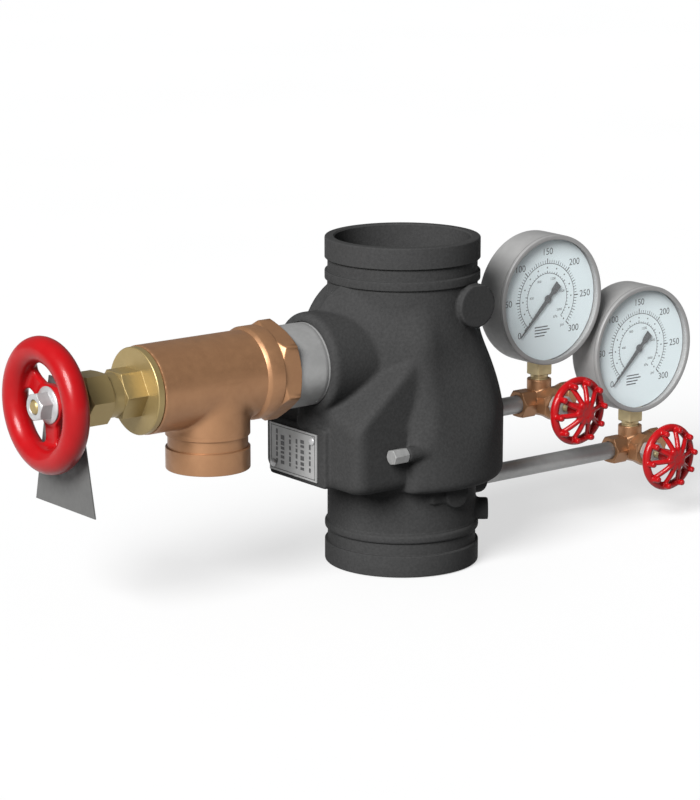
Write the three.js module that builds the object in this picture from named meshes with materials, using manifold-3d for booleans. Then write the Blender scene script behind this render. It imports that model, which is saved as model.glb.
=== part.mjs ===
// Grooved-end riser check valve with its angle drain valve and two pressure gauge trims.
// Millimetres, +Z up the riser in the flow direction, origin at the centre of the inlet end face.
// -X carries the drain valve, +X carries the gauge trims and -Y is the side the gauge dials face.
import * as THREE from 'three';
import { mergeVertices } from 'three/addons/utils/BufferGeometryUtils.js';
import { ConvexGeometry } from 'three/addons/geometries/ConvexGeometry.js';
import Module from 'manifold-3d';

const wasm = await Module();
wasm.setup();

const GAP = 0.3;                  // clearance between neighbouring pieces
const FINE = 32;                  // facets round the large turned parts
const MEDIUM = 20;
const COARSE = 12;
const SMALL = 8;

// riser body
const HEIGHT = 244;
const PIPE_R = 57.15;             // 4 inch pipe, 114.3 mm outside diameter
const GROOVE_R = 55.05;
const GASKET_SEAT = 15.88;
const GROOVE_W = 9;
const RIDGE_W = 6.5;
const NECK_R = 55.2;
const BORE_R = 49.85;
const CHAMFER = 0.8;
const CHAMBER_R = 75;
const CHAMBER_LOW = 66;
const CHAMBER_STRAIGHT = 115;
const CHAMBER_TOP = 176;
const CHAMBER_LEFT = -40;         // plane that cuts the round chamber on the drain side
const FLOOR_Z = 74;
const CAVITY_R = 69;
const WALL = 6.5;
const LOBE_X = -86;
const LOBE_Y = 57;
const LOBE_LOW = 69;
const LOBE_SHOULDER = 114;
const LOBE_CAVITY_TOP = 113;
const COLUMN = { x: -24.4, y: 60.5, left: -50, low: 112, high: 184, top: 192, inset: 9 };   // neck corner
const BACK_BOSS = { r: 51, z: 160, face: 60 };
const BLANK_BOSS = { x: 22.8, z: 197.6, r: 16.2, face: 59.5 };
const LUG = { x: 3.3, z: 60.5, r: 10.3, face: 59.5 };
const SIDE_BOSS = { r: 9.3, z: 36.8, reach: 64.3, turn: -0.66 };
const PORT_PAD = { x: 81.5, half: 23, low: 71, high: 115 };
const PORT_BOSS = { x: 75, r: 12 };
const PLATE_PAD = { x: -90, right: -24, left: 43.5, low: 70.5, high: 114.5 };
const PLATE = { right: -15.5, left: 41.5, low: 74.3, high: 109.8, thick: 0.8 };
const RIVET_INSET = 5.2;
const PLUG = { y: -63.4, z: 98, flats: 10, head: -60.5, root: -47.5, tip: -39, r: 3.6, boss: 6 };

// seat, clapper and hinge
const SEAT_LOW = 66.3;
const SEAT_TOP = 80;
const SEAT_BORE = 43;
const SEAT_R = 52;
const LEDGE_BORE = 45;
const HINGE_X = 58;
const HINGE_Z = 92;
const PIN_R = 4;
const PIN_HALF = 31.5;
const EAR_IN = 22;
const EAR_OUT = 30;
const CLAPPER_R = 49.5;
const CLAPPER_LOW = 84.6;
const CLAPPER_TOP = 92;
const SEAL_IN = 40;
const SEAL_R = 48.5;
const RETAINER_BOLT_R = 4;

// drain valve, along -X; s counts millimetres outward from the riser axis
const DRAIN_Z = 159.8;
const DRAIN_PIPE_R = 30.15;       // 2 inch pipe, 60.3 mm outside diameter
const DRAIN_PIPE_BORE = 26.2;
const DRAIN_BOSS_R = 37;
const DRAIN_BOSS_FACE = 90;
const NIPPLE = { in: 62.3, out: 133.4 };
const DRAIN_HEX = { flats: 63.4, turned: 36.2, low: 116, high: 131 };
const COLLAR = { r: 33.6, end: 143.5 };
const BARREL = { r: 31.5, end: 231.8, bore: 27.5 };
const DRAIN_SEAT = { low: 147.5, high: 152, bore: 22 };
const OUTLET = { s: 175.6, low: 96.44, seat: 15.88, width: 8.7, groove: 28.58, bore: 24 };
const BONNET = { r: 30.84, low: 232.1, face: 237.5, flats: 32, hexEnd: 254.7, neck: 15.6 };
const BONNET_THREAD = { r: 13.5, start: 264.2, end: 276, plug: 222, box: 9, boxLow: 261 };
const PACK_NUT = { flats: 34.5, low: 264.5, high: 284, inner: 279 };
const STEM_R = 5.5;
const STEM_TIP_R = 4.9;           // reduced end that carries the handwheel and its nut
const STEM_HEAD_R = 7;
const STEM = { low: 164.8, head: 170, shoulder: 299, tip: 319.6 };
const DISC = { low: 155.3, high: 163, r: 25.4, boss: 11.5, bossEnd: 176 };
const DISC_SPIGOT_R = 3.8;        // carries the seat washer and its nut
const DISC_CUP = { wall: 2.2, floor: 164.5, step: 170.3 };
const TAG = { s: 295.5, thick: 1, top: 176, low: 85.4, half: 37.2, slope: 0.217, hole: 7 };
const WHEEL = { s: 309.5, ring: 38.5, tube: 9.2, hubR: 14, hubLow: 299.5, hubHigh: 306.6 };
const WHEEL_NUT = { flange: 12.8, flats: 18, low: 306.9, step: 309.2, high: 318.9 };

// gauge trims, two alike
const TRIMS = [
  { tag: 'outlet', x: 134.5, z: 101.2, pipeIn: 73 },
  { tag: 'inlet', x: 230.2, z: 50.8, pipeIn: 57 },
];
const PIPE4_R = 6.86;             // 1/4 inch pipe, 13.7 mm outside diameter
const PIPE4_BORE = 4.6;
const COCK = { flats: 19.5, hexLow: -22, hexHigh: -8, r: 9, farLow: 21.3, farHigh: 30, port: 9.35 };
const COCK_PORT_TOP = 17.8;
const COCK_BONNET = { boss: 10.8, bossEnd: 9.8, flats: 22, low: 10.1, high: 20, plug: 6.2, plugLow: 6 };
const COCK_NUT = { flats: 15, low: 20.3, high: 31, inner: 28, thread: 5.7, threadEnd: 26 };
const COCK_STEM_R = 3;
const COCK_STEM_TIP_R = 2.4;      // reduced end inside the handwheel's hub
const COCK_DISC = { r: 5, low: -2.4, high: 1.8 };
const HAND = { t: 44.5, ring: 23.1, tube: 3.3, knobR: 2.4, knobEnd: 53.4, hub: 6, hubLow: 38, face: 55 };
const HAND_SPOKES = 10;
const HAND_PHASE = 0.08;
const GAUGE_RISE = 80.4;          // dial centre above the trim pipe
const SOCKET = { side: 14, low: 20.8, high: 48, thread: 6.8, threadLow: 7 };
const CASE = { r: 50, back: 15.5, front: -11.4, wall: 1.5, rim: 49.9 };
const BEZEL = { inner: 46.2, face: -14.2, lip: 1.3 };
const DIAL = { r: 47.4, front: -7.8, thick: 0.8, hole: 1.8 };
const GLASS = { r: 47.4, low: -12.6, high: -11.1 };
const POINTER = { tip: 38, tail: 17, thick: 0.5, low: -9.4, shaft: 1.2, hub: 3.2, zero: 225 };
const BOURDON = { ring: 31, half: 3.6, flat: 1.4, y: 1.5, start: -70, sweep: 250 };

// ---------------------------------------------------------------- helpers

function signedVolume(position, index) {
  const a = new THREE.Vector3();
  const b = new THREE.Vector3();
  const c = new THREE.Vector3();
  let sum = 0;
  for (let i = 0; i < index.length; i += 3) {
    a.fromBufferAttribute(position, index[i]);
    b.fromBufferAttribute(position, index[i + 1]);
    c.fromBufferAttribute(position, index[i + 2]);
    sum += a.dot(b.cross(c));
  }
  return sum / 6;
}

// Turns a three.js geometry into a closed, outward-facing boolean solid.
function solid(geometry) {
  const bare = geometry.clone();
  bare.deleteAttribute('normal');
  bare.deleteAttribute('uv');
  const merged = mergeVertices(bare, 1e-4);
  const source = merged.index.array;
  const kept = [];
  for (let i = 0; i < source.length; i += 3) {
    const [a, b, c] = [source[i], source[i + 1], source[i + 2]];
    if (a !== b && b !== c && c !== a) kept.push(a, b, c);
  }
  if (signedVolume(merged.attributes.position, kept) < 0) {
    for (let i = 0; i < kept.length; i += 3) {
      [kept[i + 1], kept[i + 2]] = [kept[i + 2], kept[i + 1]];
    }
  }
  const mesh = new wasm.Mesh({
    numProp: 3,
    vertProperties: new Float32Array(merged.attributes.position.array),
    triVerts: new Uint32Array(kept),
  });
  return new wasm.Manifold(mesh);
}

// Points a geometry built along +Y down the named axis.
function aim(geometry, axis) {
  if (axis === 'z') geometry.rotateX(Math.PI / 2);
  if (axis === '-y') geometry.rotateX(Math.PI);
  if (axis === 'x') geometry.rotateZ(-Math.PI / 2);
  if (axis === '-x') geometry.rotateZ(Math.PI / 2);
  return geometry;
}

function moved(geometry, x, y, z) {
  return geometry.translate(x, y, z);
}

// A turned solid: profile pairs are [radius, distance along the axis].
function turned(profile, axis, at = [0, 0, 0], facets = MEDIUM) {
  const points = profile.map(([r, s]) => new THREE.Vector2(r, s));
  const onAxis = profile[0][0] === 0 && profile[profile.length - 1][0] === 0;
  if (!onAxis) points.push(points[0].clone());
  return solid(moved(aim(new THREE.LatheGeometry(points, facets), axis), ...at));
}

function rod(r, low, high, axis, at, facets) {
  return turned([[0, low], [r, low], [r, high], [0, high]], axis, at, facets);
}

function ring(inner, outer, low, high, axis, at, facets) {
  return turned([[inner, low], [outer, low], [outer, high], [inner, high]], axis, at, facets);
}

// A hexagonal bar; turnBy rotates it about its own axis.
function hex(flats, low, high, axis, at = [0, 0, 0], turnBy = 0) {
  const bar = new THREE.CylinderGeometry(flats / Math.sqrt(3), flats / Math.sqrt(3), high - low, 6);
  bar.rotateY(turnBy);
  bar.translate(0, (low + high) / 2, 0);
  return solid(moved(aim(bar, axis), ...at));
}

// A hexagonal bar whose corners are turned down towards both ends.
function nutBlank(flats, low, high, axis, at, turnBy, facets = COARSE) {
  const corner = flats / Math.sqrt(3);
  const chamfer = (corner - flats / 2) * 0.7;
  const drop = corner - flats / 2;
  const envelope = turned([
    [0, low], [corner - drop, low], [corner + 0.01, low + chamfer],
    [corner + 0.01, high - chamfer], [corner - drop, high], [0, high],
  ], axis, at, facets);
  return hex(flats, low, high, axis, at, turnBy).intersect(envelope);
}

function block(x0, x1, y0, y1, z0, z1) {
  const box = new THREE.BoxGeometry(x1 - x0, y1 - y0, z1 - z0);
  return solid(box.translate((x0 + x1) / 2, (y0 + y1) / 2, (z0 + z1) / 2));
}

function unite(list) {
  return list.reduce((sum, part) => sum.add(part));
}

function cut(base, list) {
  return list.reduce((rest, part) => rest.subtract(part), base);
}

const part = new THREE.Group();
part.name = 'riser_check_valve';

const FINISH = {
  black: [0x3a3b3d, 0.35, 0.6],
  bronze: [0xa87650, 0.9, 0.38],
  brass: [0xa68b50, 0.95, 0.3],
  steel: [0xa9abad, 0.9, 0.35],
  zinc: [0x8f9193, 0.85, 0.45],
  red: [0xc8202a, 0.1, 0.35],
  grey: [0x8c8e92, 0.4, 0.45],
  plate: [0x9a9b9c, 0.8, 0.5],
  rubber: [0x1d1d1e, 0, 0.85],
  white: [0xd6e0e2, 0, 0.5],
  ink: [0x16181a, 0, 0.5],
  glass: [0xdfeaf0, 0, 0.05],
};

function add(name, body, finish) {
  const data = body.getMesh();
  const geometry = new THREE.BufferGeometry();
  geometry.setAttribute('position', new THREE.BufferAttribute(new Float32Array(data.vertProperties), 3));
  geometry.setIndex(new THREE.BufferAttribute(new Uint32Array(data.triVerts), 1));
  geometry.computeVertexNormals();
  const [color, metalness, roughness] = FINISH[finish];
  const material = new THREE.MeshStandardMaterial({ color, metalness, roughness, name: `${name}_${finish}` });
  const mesh = new THREE.Mesh(geometry, material);
  mesh.name = name;
  part.add(mesh);
}

// ---------------------------------------------------------------- riser body

function chamberRadius(z) {
  const t = Math.max(0, (z - CHAMBER_STRAIGHT) / (CHAMBER_TOP - CHAMBER_STRAIGHT));
  return CHAMBER_R - (CHAMBER_R - NECK_R + 1.5) * Math.pow(t, 1.45);
}

function riserOutside() {
  const groove = GASKET_SEAT + GROOVE_W;
  const ridge = groove + RIDGE_W;
  const half = [
    [PIPE_R - CHAMFER, 0], [PIPE_R, CHAMFER], [PIPE_R, GASKET_SEAT], [GROOVE_R, GASKET_SEAT],
    [GROOVE_R, groove], [PIPE_R, groove], [PIPE_R, ridge], [NECK_R, ridge + 2],
  ];
  const top = half.map(([r, z]) => [r, HEIGHT - z]).reverse();
  const neck = turned([[0, 0], ...half, ...top, [0, HEIGHT]], 'z', undefined, FINE);

  const dome = [[0, CHAMBER_LOW], [NECK_R + 8, CHAMBER_LOW], [CHAMBER_R - 3, CHAMBER_LOW + 3]];
  dome.push([CHAMBER_R, CHAMBER_LOW + 11]);
  for (let i = 0; i <= 4; i += 1) {
    const z = CHAMBER_STRAIGHT + (CHAMBER_TOP - CHAMBER_STRAIGHT) * i / 4;
    dome.push([chamberRadius(z), z]);
  }
  dome.push([0, CHAMBER_TOP]);
  const chamber = turned(dome, 'z', undefined, FINE)
    .intersect(block(CHAMBER_LEFT, 100, -100, 100, 0, HEIGHT));

  const rim = [];
  for (const side of [-1, 1]) {
    for (const z of [LOBE_LOW + 4, LOBE_SHOULDER]) {
      rim.push(new THREE.Vector3(LOBE_X, side * (LOBE_Y - 12), z));
      rim.push(new THREE.Vector3(LOBE_X + 3.5, side * (LOBE_Y - 3.5), z));
      rim.push(new THREE.Vector3(LOBE_X + 12, side * LOBE_Y, z));
      rim.push(new THREE.Vector3(CHAMBER_LEFT / 2, side * LOBE_Y, z));
    }
    rim.push(new THREE.Vector3(LOBE_X + 6, side * (LOBE_Y - 14), LOBE_LOW));
    rim.push(new THREE.Vector3(LOBE_X + 14, side * (LOBE_Y - 5), LOBE_LOW));
    rim.push(new THREE.Vector3(CHAMBER_LEFT / 2, side * (LOBE_Y - 5), LOBE_LOW));
    rim.push(new THREE.Vector3(LOBE_X + 2, side * DRAIN_BOSS_R, LOBE_SHOULDER + 19));
    rim.push(new THREE.Vector3(CHAMBER_LEFT - 15, side * DRAIN_BOSS_R, LOBE_SHOULDER + 42));
    rim.push(new THREE.Vector3(CHAMBER_LEFT - 3, side * (LOBE_Y - 5), LOBE_SHOULDER + 36));
    rim.push(new THREE.Vector3(CHAMBER_LEFT / 2, side * (LOBE_Y - 9), LOBE_SHOULDER + 54));
  }
  const lobe = solid(new ConvexGeometry(rim));

  const corner = [];
  for (const side of [-1, 1]) {
    const outline = [[COLUMN.left, 35], [COLUMN.x, COLUMN.y], [10, COLUMN.y - 6], [0, 20], [-45, 10]];
    for (const [x, y] of outline) {
      corner.push(new THREE.Vector3(x, side * y, COLUMN.low));
      corner.push(new THREE.Vector3(x, side * y, COLUMN.high));
    }
    corner.push(new THREE.Vector3(COLUMN.x, side * (COLUMN.y - COLUMN.inset), COLUMN.top));
  }
  const columns = solid(new ConvexGeometry(corner));

  const face = DRAIN_BOSS_FACE;
  const drainBoss = turned([
    [0, 20], [DRAIN_BOSS_R, 20], [DRAIN_BOSS_R, face - 5], [DRAIN_BOSS_R - 1.5, face - 1.5],
    [DRAIN_BOSS_R - 5, face], [0, face],
  ], '-x', [0, 0, DRAIN_Z], FINE);
  const back = turned([
    [0, 20], [BACK_BOSS.r, 20], [BACK_BOSS.r, BACK_BOSS.face - 5],
    [BACK_BOSS.r - 5, BACK_BOSS.face], [0, BACK_BOSS.face],
  ], 'y', [0, 0, BACK_BOSS.z], MEDIUM);
  const blank = rod(BLANK_BOSS.r, 20, BLANK_BOSS.face, '-y', [BLANK_BOSS.x, 0, BLANK_BOSS.z], MEDIUM);
  const lug = rod(LUG.r, 30, LUG.face, '-y', [LUG.x, 0, LUG.z], COARSE)
    .add(block(LUG.x - LUG.r, LUG.x + LUG.r, -LUG.face, -30, LUG.z, LUG.z + 12));
  const lugPad = block(LUG.x - LUG.r - 6, LUG.x, -LUG.face + 2.5, -30, LUG.z - 5, LUG.z + 12);
  const sideBoss = solid(
    new THREE.CylinderGeometry(SIDE_BOSS.r, SIDE_BOSS.r, 34, COARSE)
      .rotateZ(-Math.PI / 2)
      .translate(SIDE_BOSS.reach - 17, 0, SIDE_BOSS.z)
      .rotateZ(SIDE_BOSS.turn),
  );
  const pad = solid(new ConvexGeometry([-1, 1].flatMap((y) => [
    new THREE.Vector3(40, y * (PORT_PAD.half + 2), PORT_PAD.low - 4),
    new THREE.Vector3(40, y * (PORT_PAD.half + 2), PORT_PAD.high + 4),
    new THREE.Vector3(PORT_PAD.x - 3, y * PORT_PAD.half, PORT_PAD.low - 1.5),
    new THREE.Vector3(PORT_PAD.x - 3, y * PORT_PAD.half, PORT_PAD.high + 3),
    new THREE.Vector3(PORT_PAD.x, y * (PORT_PAD.half - 2), PORT_PAD.low + 3),
    new THREE.Vector3(PORT_PAD.x, y * (PORT_PAD.half - 2), PORT_PAD.high - 3),
  ])));
  const portBoss = rod(PORT_BOSS.r, 30, PORT_BOSS.x, 'x', [0, 0, TRIMS[1].z], COARSE);
  const platePad = block(PLATE_PAD.x, PLATE_PAD.x + 40, PLATE_PAD.right, PLATE_PAD.left,
    PLATE_PAD.low, PLATE_PAD.high);
  const bosses = [drainBoss, back, blank, lug, lugPad, sideBoss, pad, portBoss, platePad];
  return unite([neck, chamber, lobe, columns, ...bosses]);
}

function riserInside() {
  const inlet = rod(BORE_R, -1, SEAT_LOW - 6, 'z', undefined, FINE);
  const ledge = rod(LEDGE_BORE, -1, FLOOR_Z + 1, 'z', undefined, FINE);
  const seat = rod(SEAT_R + GAP, SEAT_LOW - GAP, FLOOR_Z + 1, 'z', undefined, FINE);
  const outlet = rod(BORE_R, FLOOR_Z, HEIGHT + 1, 'z', undefined, FINE);
  const hollow = [[0, FLOOR_Z], [CAVITY_R, FLOOR_Z]];
  for (let i = 0; i <= 3; i += 1) {
    const z = CHAMBER_STRAIGHT + (CHAMBER_TOP - 8 - CHAMBER_STRAIGHT) * i / 3;
    hollow.push([Math.min(CAVITY_R, chamberRadius(z) - WALL), z]);
  }
  hollow.push([0, CHAMBER_TOP - 8]);
  const chamber = turned(hollow, 'z', undefined, FINE)
    .intersect(block(CHAMBER_LEFT + WALL, 100, -100, 100, 0, HEIGHT));
  const lobe = rod(CAVITY_R, FLOOR_Z, LOBE_CAVITY_TOP, 'z', undefined, FINE)
    .intersect(block(-100, 0, -LOBE_Y + 11, LOBE_Y - 11, 0, HEIGHT));
  return unite([inlet, ledge, seat, outlet, chamber, lobe]);
}

function hingeEars() {
  const ears = [-1, 1].map((side) => {
    const y0 = Math.min(side * EAR_IN, side * EAR_OUT);
    const y1 = Math.max(side * EAR_IN, side * EAR_OUT);
    return block(HINGE_X - 7, HINGE_X + 8, y0, y1, FLOOR_Z - 1, HINGE_Z)
      .add(rod(7.5, y0, y1, 'y', [HINGE_X, 0, HINGE_Z], COARSE));
  });
  return unite(ears);
}

function buildBody() {
  const shell = riserOutside()
    .add(rod(PLUG.boss, 20, -PLUG.root - GAP, '-x', [0, PLUG.y, PLUG.z], MEDIUM))
    .subtract(riserInside())
    .add(hingeEars());
  const drainAt = [0, 0, DRAIN_Z];
  const cuts = [
    rod(PIN_R + GAP, -PIN_HALF - GAP, PIN_HALF + GAP, 'y', [HINGE_X, 0, HINGE_Z], COARSE),
    rod(DRAIN_PIPE_BORE, 0, NIPPLE.in, '-x', drainAt, MEDIUM),
    rod(DRAIN_PIPE_R + GAP, NIPPLE.in - GAP, DRAIN_BOSS_FACE + 1, '-x', drainAt, FINE),
    rod(PLUG.r + GAP, -PLUG.tip - GAP, -PLUG.root, '-x', [0, PLUG.y, PLUG.z], SMALL),
  ];
  for (const trim of TRIMS) {
    cuts.push(rod(PIPE4_R + GAP, trim.pipeIn - GAP, 100, 'x', [0, 0, trim.z], COARSE));
    cuts.push(rod(PIPE4_BORE, 40, trim.pipeIn, 'x', [0, 0, trim.z], COARSE));
  }
  for (const [y, z] of rivetSpots()) {
    cuts.push(rod(1.5 + GAP, -PLATE_PAD.x - 6, -PLATE_PAD.x + 1, '-x', [0, y, z], SMALL));
  }
  add('valve_body', cut(shell, cuts), 'black');
}

function rivetSpots() {
  return [
    [PLATE.right + RIVET_INSET, PLATE.high - RIVET_INSET],
    [PLATE.left - RIVET_INSET, PLATE.low + RIVET_INSET],
  ];
}

function buildPlate() {
  const back = PLATE_PAD.x - GAP;
  const holes = rivetSpots().map(([y, z]) => rod(1.5 + GAP, 80, 100, '-x', [0, y, z], SMALL));
  const plate = block(back - PLATE.thick, back, PLATE.right, PLATE.left, PLATE.low, PLATE.high);
  add('name_plate', cut(plate, holes), 'plate');
  rivetSpots().forEach(([y, z], i) => {
    const head = -back + PLATE.thick + GAP;
    const shape = [[0, -PLATE_PAD.x - 5], [1.5, -PLATE_PAD.x - 5], [1.5, head], [2.6, head],
      [2.2, head + 1], [0, head + 1.5]];
    add(`plate_rivet_${i + 1}`, turned(shape, '-x', [0, y, z], SMALL), 'steel');
  });
  const at = [0, PLUG.y, PLUG.z];
  const head = nutBlank(PLUG.flats, -PLUG.root, -PLUG.head, '-x', at, 0.2, COARSE);
  add('chamber_plug', head.add(rod(PLUG.r, -PLUG.tip, -PLUG.root + 1, '-x', at, SMALL)), 'steel');
}

function buildClapper() {
  const seat = turned([
    [SEAT_BORE, SEAT_LOW], [SEAT_R, SEAT_LOW], [SEAT_R, SEAT_TOP - 4], [SEAT_BORE + 5, SEAT_TOP],
    [SEAT_BORE + 1, SEAT_TOP], [SEAT_BORE, SEAT_TOP - 1],
  ], 'z', undefined, FINE);
  add('seat_ring', seat, 'bronze');

  const disc = turned([
    [0, CLAPPER_LOW], [CLAPPER_R, CLAPPER_LOW], [CLAPPER_R, CLAPPER_LOW + 3],
    [CLAPPER_R - 5, CLAPPER_TOP - 1], [16, CLAPPER_TOP], [12, CLAPPER_TOP + 3], [0, CLAPPER_TOP + 3],
  ], 'z', undefined, FINE);
  const arms = [-1, 1].map((side) => {
    const y0 = Math.min(side * 11, side * 19);
    const y1 = Math.max(side * 11, side * 19);
    return block(0, HINGE_X, y0, y1, CLAPPER_LOW + 1, CLAPPER_TOP + 3)
      .add(rod(PIN_R + 3, y0, y1, 'y', [HINGE_X, 0, HINGE_Z], COARSE));
  });
  const clapper = unite([disc, ...arms])
    .subtract(rod(PIN_R + GAP, -30, 30, 'y', [HINGE_X, 0, HINGE_Z], COARSE))
    .subtract(rod(RETAINER_BOLT_R + GAP, 0, 200, 'z', undefined, COARSE));
  add('clapper', clapper, 'steel');
  const sealTop = CLAPPER_LOW - GAP;
  const sealLow = SEAT_TOP + GAP;
  add('clapper_seal', ring(SEAL_IN, SEAL_R, sealLow, sealTop, 'z', undefined, FINE), 'rubber');
  const retainer = ring(RETAINER_BOLT_R + GAP, SEAL_IN - GAP, sealLow, sealTop, 'z', undefined, MEDIUM);
  add('seal_retainer', retainer, 'steel');
  const bolt = nutBlank(16, sealLow - GAP - 6, sealLow - GAP, 'z', undefined, 0)
    .add(rod(RETAINER_BOLT_R, sealLow - 1, CLAPPER_TOP + 3.5, 'z', undefined, COARSE));
  add('retainer_bolt', bolt, 'steel');
  const pin = turned([
    [0, -PIN_HALF], [PIN_R - 0.6, -PIN_HALF], [PIN_R, -PIN_HALF + 0.6], [PIN_R, PIN_HALF - 0.6],
    [PIN_R - 0.6, PIN_HALF], [0, PIN_HALF],
  ], 'y', [HINGE_X, 0, HINGE_Z], COARSE);
  add('hinge_pin', pin, 'steel');

  const turns = 4;
  const helix = [];
  for (let i = 0; i <= turns * 8; i += 1) {
    const a = i * Math.PI / 4;
    helix.push(new THREE.Vector3(HINGE_X + 5.6 * Math.cos(a), -8 + 16 * i / (turns * 8),
      HINGE_Z + 5.6 * Math.sin(a)));
  }
  const wire = new THREE.Shape().absarc(0, 0, 1, 0, 2 * Math.PI);
  const coil = new THREE.ExtrudeGeometry(wire, {
    steps: turns * 8, curveSegments: 3, bevelEnabled: false,
    extrudePath: new THREE.CatmullRomCurve3(helix),
  });
  add('clapper_spring', solid(coil), 'steel');
}

// ---------------------------------------------------------------- drain valve

function buildDrain() {
  const at = [0, 0, DRAIN_Z];
  add('drain_nipple', ring(DRAIN_PIPE_BORE, DRAIN_PIPE_R, NIPPLE.in, NIPPLE.out, '-x', at, FINE), 'zinc');

  const trimmed = turned([
    [0, DRAIN_HEX.low], [DRAIN_HEX.turned - 2.5, DRAIN_HEX.low], [DRAIN_HEX.turned, DRAIN_HEX.low + 2],
    [DRAIN_HEX.turned, DRAIN_HEX.high - 3], [DRAIN_HEX.turned - 3, DRAIN_HEX.high], [0, DRAIN_HEX.high],
  ], '-x', at, FINE);
  const end = hex(DRAIN_HEX.flats, DRAIN_HEX.low, DRAIN_HEX.high, '-x', at, Math.PI / 2 + 0.1)
    .intersect(trimmed);
  const barrel = turned([
    [0, DRAIN_HEX.high - 4], [COLLAR.r, DRAIN_HEX.high - 4], [COLLAR.r, COLLAR.end - 1.5],
    [BARREL.r, COLLAR.end + 1], [BARREL.r, BARREL.end], [0, BARREL.end],
  ], '-x', at, FINE);
  const outletTop = OUTLET.low + OUTLET.seat;
  const outlet = turned([
    [0, OUTLET.low], [DRAIN_PIPE_R - CHAMFER, OUTLET.low], [DRAIN_PIPE_R, OUTLET.low + CHAMFER],
    [DRAIN_PIPE_R, outletTop], [OUTLET.groove, outletTop], [OUTLET.groove, outletTop + OUTLET.width],
    [DRAIN_PIPE_R, outletTop + OUTLET.width], [DRAIN_PIPE_R, DRAIN_Z], [0, DRAIN_Z],
  ], 'z', [-OUTLET.s, 0, 0], FINE);
  const body = cut(unite([end, barrel, outlet]), [
    rod(DRAIN_PIPE_R + GAP, DRAIN_HEX.low - 1, NIPPLE.out + GAP, '-x', at, FINE),
    rod(DRAIN_SEAT.bore, DRAIN_HEX.low, DRAIN_SEAT.high + 1, '-x', at, MEDIUM),
    rod(BARREL.bore, DRAIN_SEAT.high, BARREL.end + 1, '-x', at, FINE),
    rod(OUTLET.bore, OUTLET.low - 1, DRAIN_Z, 'z', [-OUTLET.s, 0, 0], MEDIUM),
  ]);
  add('drain_valve_body', body, 'bronze');

  const thread = BONNET_THREAD;
  const bonnet = turned([
    [0, thread.plug], [BARREL.bore - GAP, thread.plug], [BARREL.bore - GAP, BONNET.low],
    [BONNET.r, BONNET.low], [BONNET.r, BONNET.face - 0.6], [BONNET.r - 0.6, BONNET.face], [0, BONNET.face],
  ], '-x', at, FINE)
    .add(hex(BONNET.flats, BONNET.face - 1, BONNET.hexEnd, '-x', at, Math.PI / 6))
    .add(rod(BONNET.neck, BONNET.hexEnd - 1, thread.start, '-x', at, MEDIUM))
    .add(rod(thread.r, thread.start - 1, thread.end, '-x', at, MEDIUM))
    .subtract(rod(STEM_R + GAP, 200, 300, '-x', at, COARSE))
    .subtract(rod(thread.box, thread.boxLow, 300, '-x', at, COARSE));
  add('drain_bonnet', bonnet, 'brass');
  const packR = thread.box - GAP;
  const packing = ring(STEM_R + GAP, packR, thread.boxLow + GAP, thread.boxLow + 9, '-x', at, COARSE);
  add('drain_packing', packing, 'rubber');
  const gland = ring(STEM_R + GAP, packR, thread.boxLow + 9 + GAP, PACK_NUT.inner - GAP, '-x', at, COARSE);
  add('drain_gland', gland, 'brass');
  const nut = hex(PACK_NUT.flats, PACK_NUT.low, PACK_NUT.high, '-x', at, Math.PI / 6)
    .subtract(rod(thread.r + GAP, 200, PACK_NUT.inner, '-x', at, MEDIUM))
    .subtract(rod(STEM_R + GAP, 200, 300, '-x', at, COARSE));
  add('drain_packing_nut', nut, 'brass');

  const cupR = DISC.boss - DISC_CUP.wall;
  const holder = turned([
    [0, DRAIN_SEAT.low + 1], [DISC_SPIGOT_R, DRAIN_SEAT.low + 1], [DISC_SPIGOT_R, DISC.low],
    [DISC.r, DISC.low], [DISC.r, DISC.high - 2], [DISC.boss, DISC.high + 2], [DISC.boss, DISC.bossEnd],
    [cupR, DISC.bossEnd], [cupR, DISC_CUP.step], [STEM_HEAD_R + GAP, DISC_CUP.step],
    [STEM_HEAD_R + GAP, DISC_CUP.floor], [0, DISC_CUP.floor],
  ], '-x', at, MEDIUM);
  add('drain_disc_holder', holder, 'brass');
  const washerLow = DRAIN_SEAT.high + GAP;
  const washer = ring(DISC_SPIGOT_R + GAP, DISC.r - 1, washerLow, DISC.low - GAP, '-x', at, MEDIUM);
  add('drain_seat_washer', washer, 'rubber');
  const washerNut = hex(16, DRAIN_SEAT.low - 0.5, DRAIN_SEAT.high, '-x', at, 0)
    .subtract(rod(DISC_SPIGOT_R + GAP, 140, 160, '-x', at, SMALL));
  add('drain_washer_nut', washerNut, 'brass');
  const swivelLow = DISC_CUP.step + GAP;
  const swivel = ring(STEM_R + GAP, cupR - GAP, swivelLow, DISC.bossEnd, '-x', at, COARSE);
  add('drain_swivel_nut', swivel, 'brass');

  const stem = turned([
    [0, STEM.low], [STEM_HEAD_R, STEM.low], [STEM_HEAD_R, STEM.head], [STEM_R, STEM.head + GAP],
    [STEM_R, STEM.shoulder], [STEM_TIP_R, STEM.shoulder + 0.6], [STEM_TIP_R, STEM.tip - 1.1],
    [STEM_TIP_R - 1.1, STEM.tip], [0, STEM.tip],
  ], '-x', at, COARSE);
  add('drain_stem', stem, 'brass');

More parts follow.
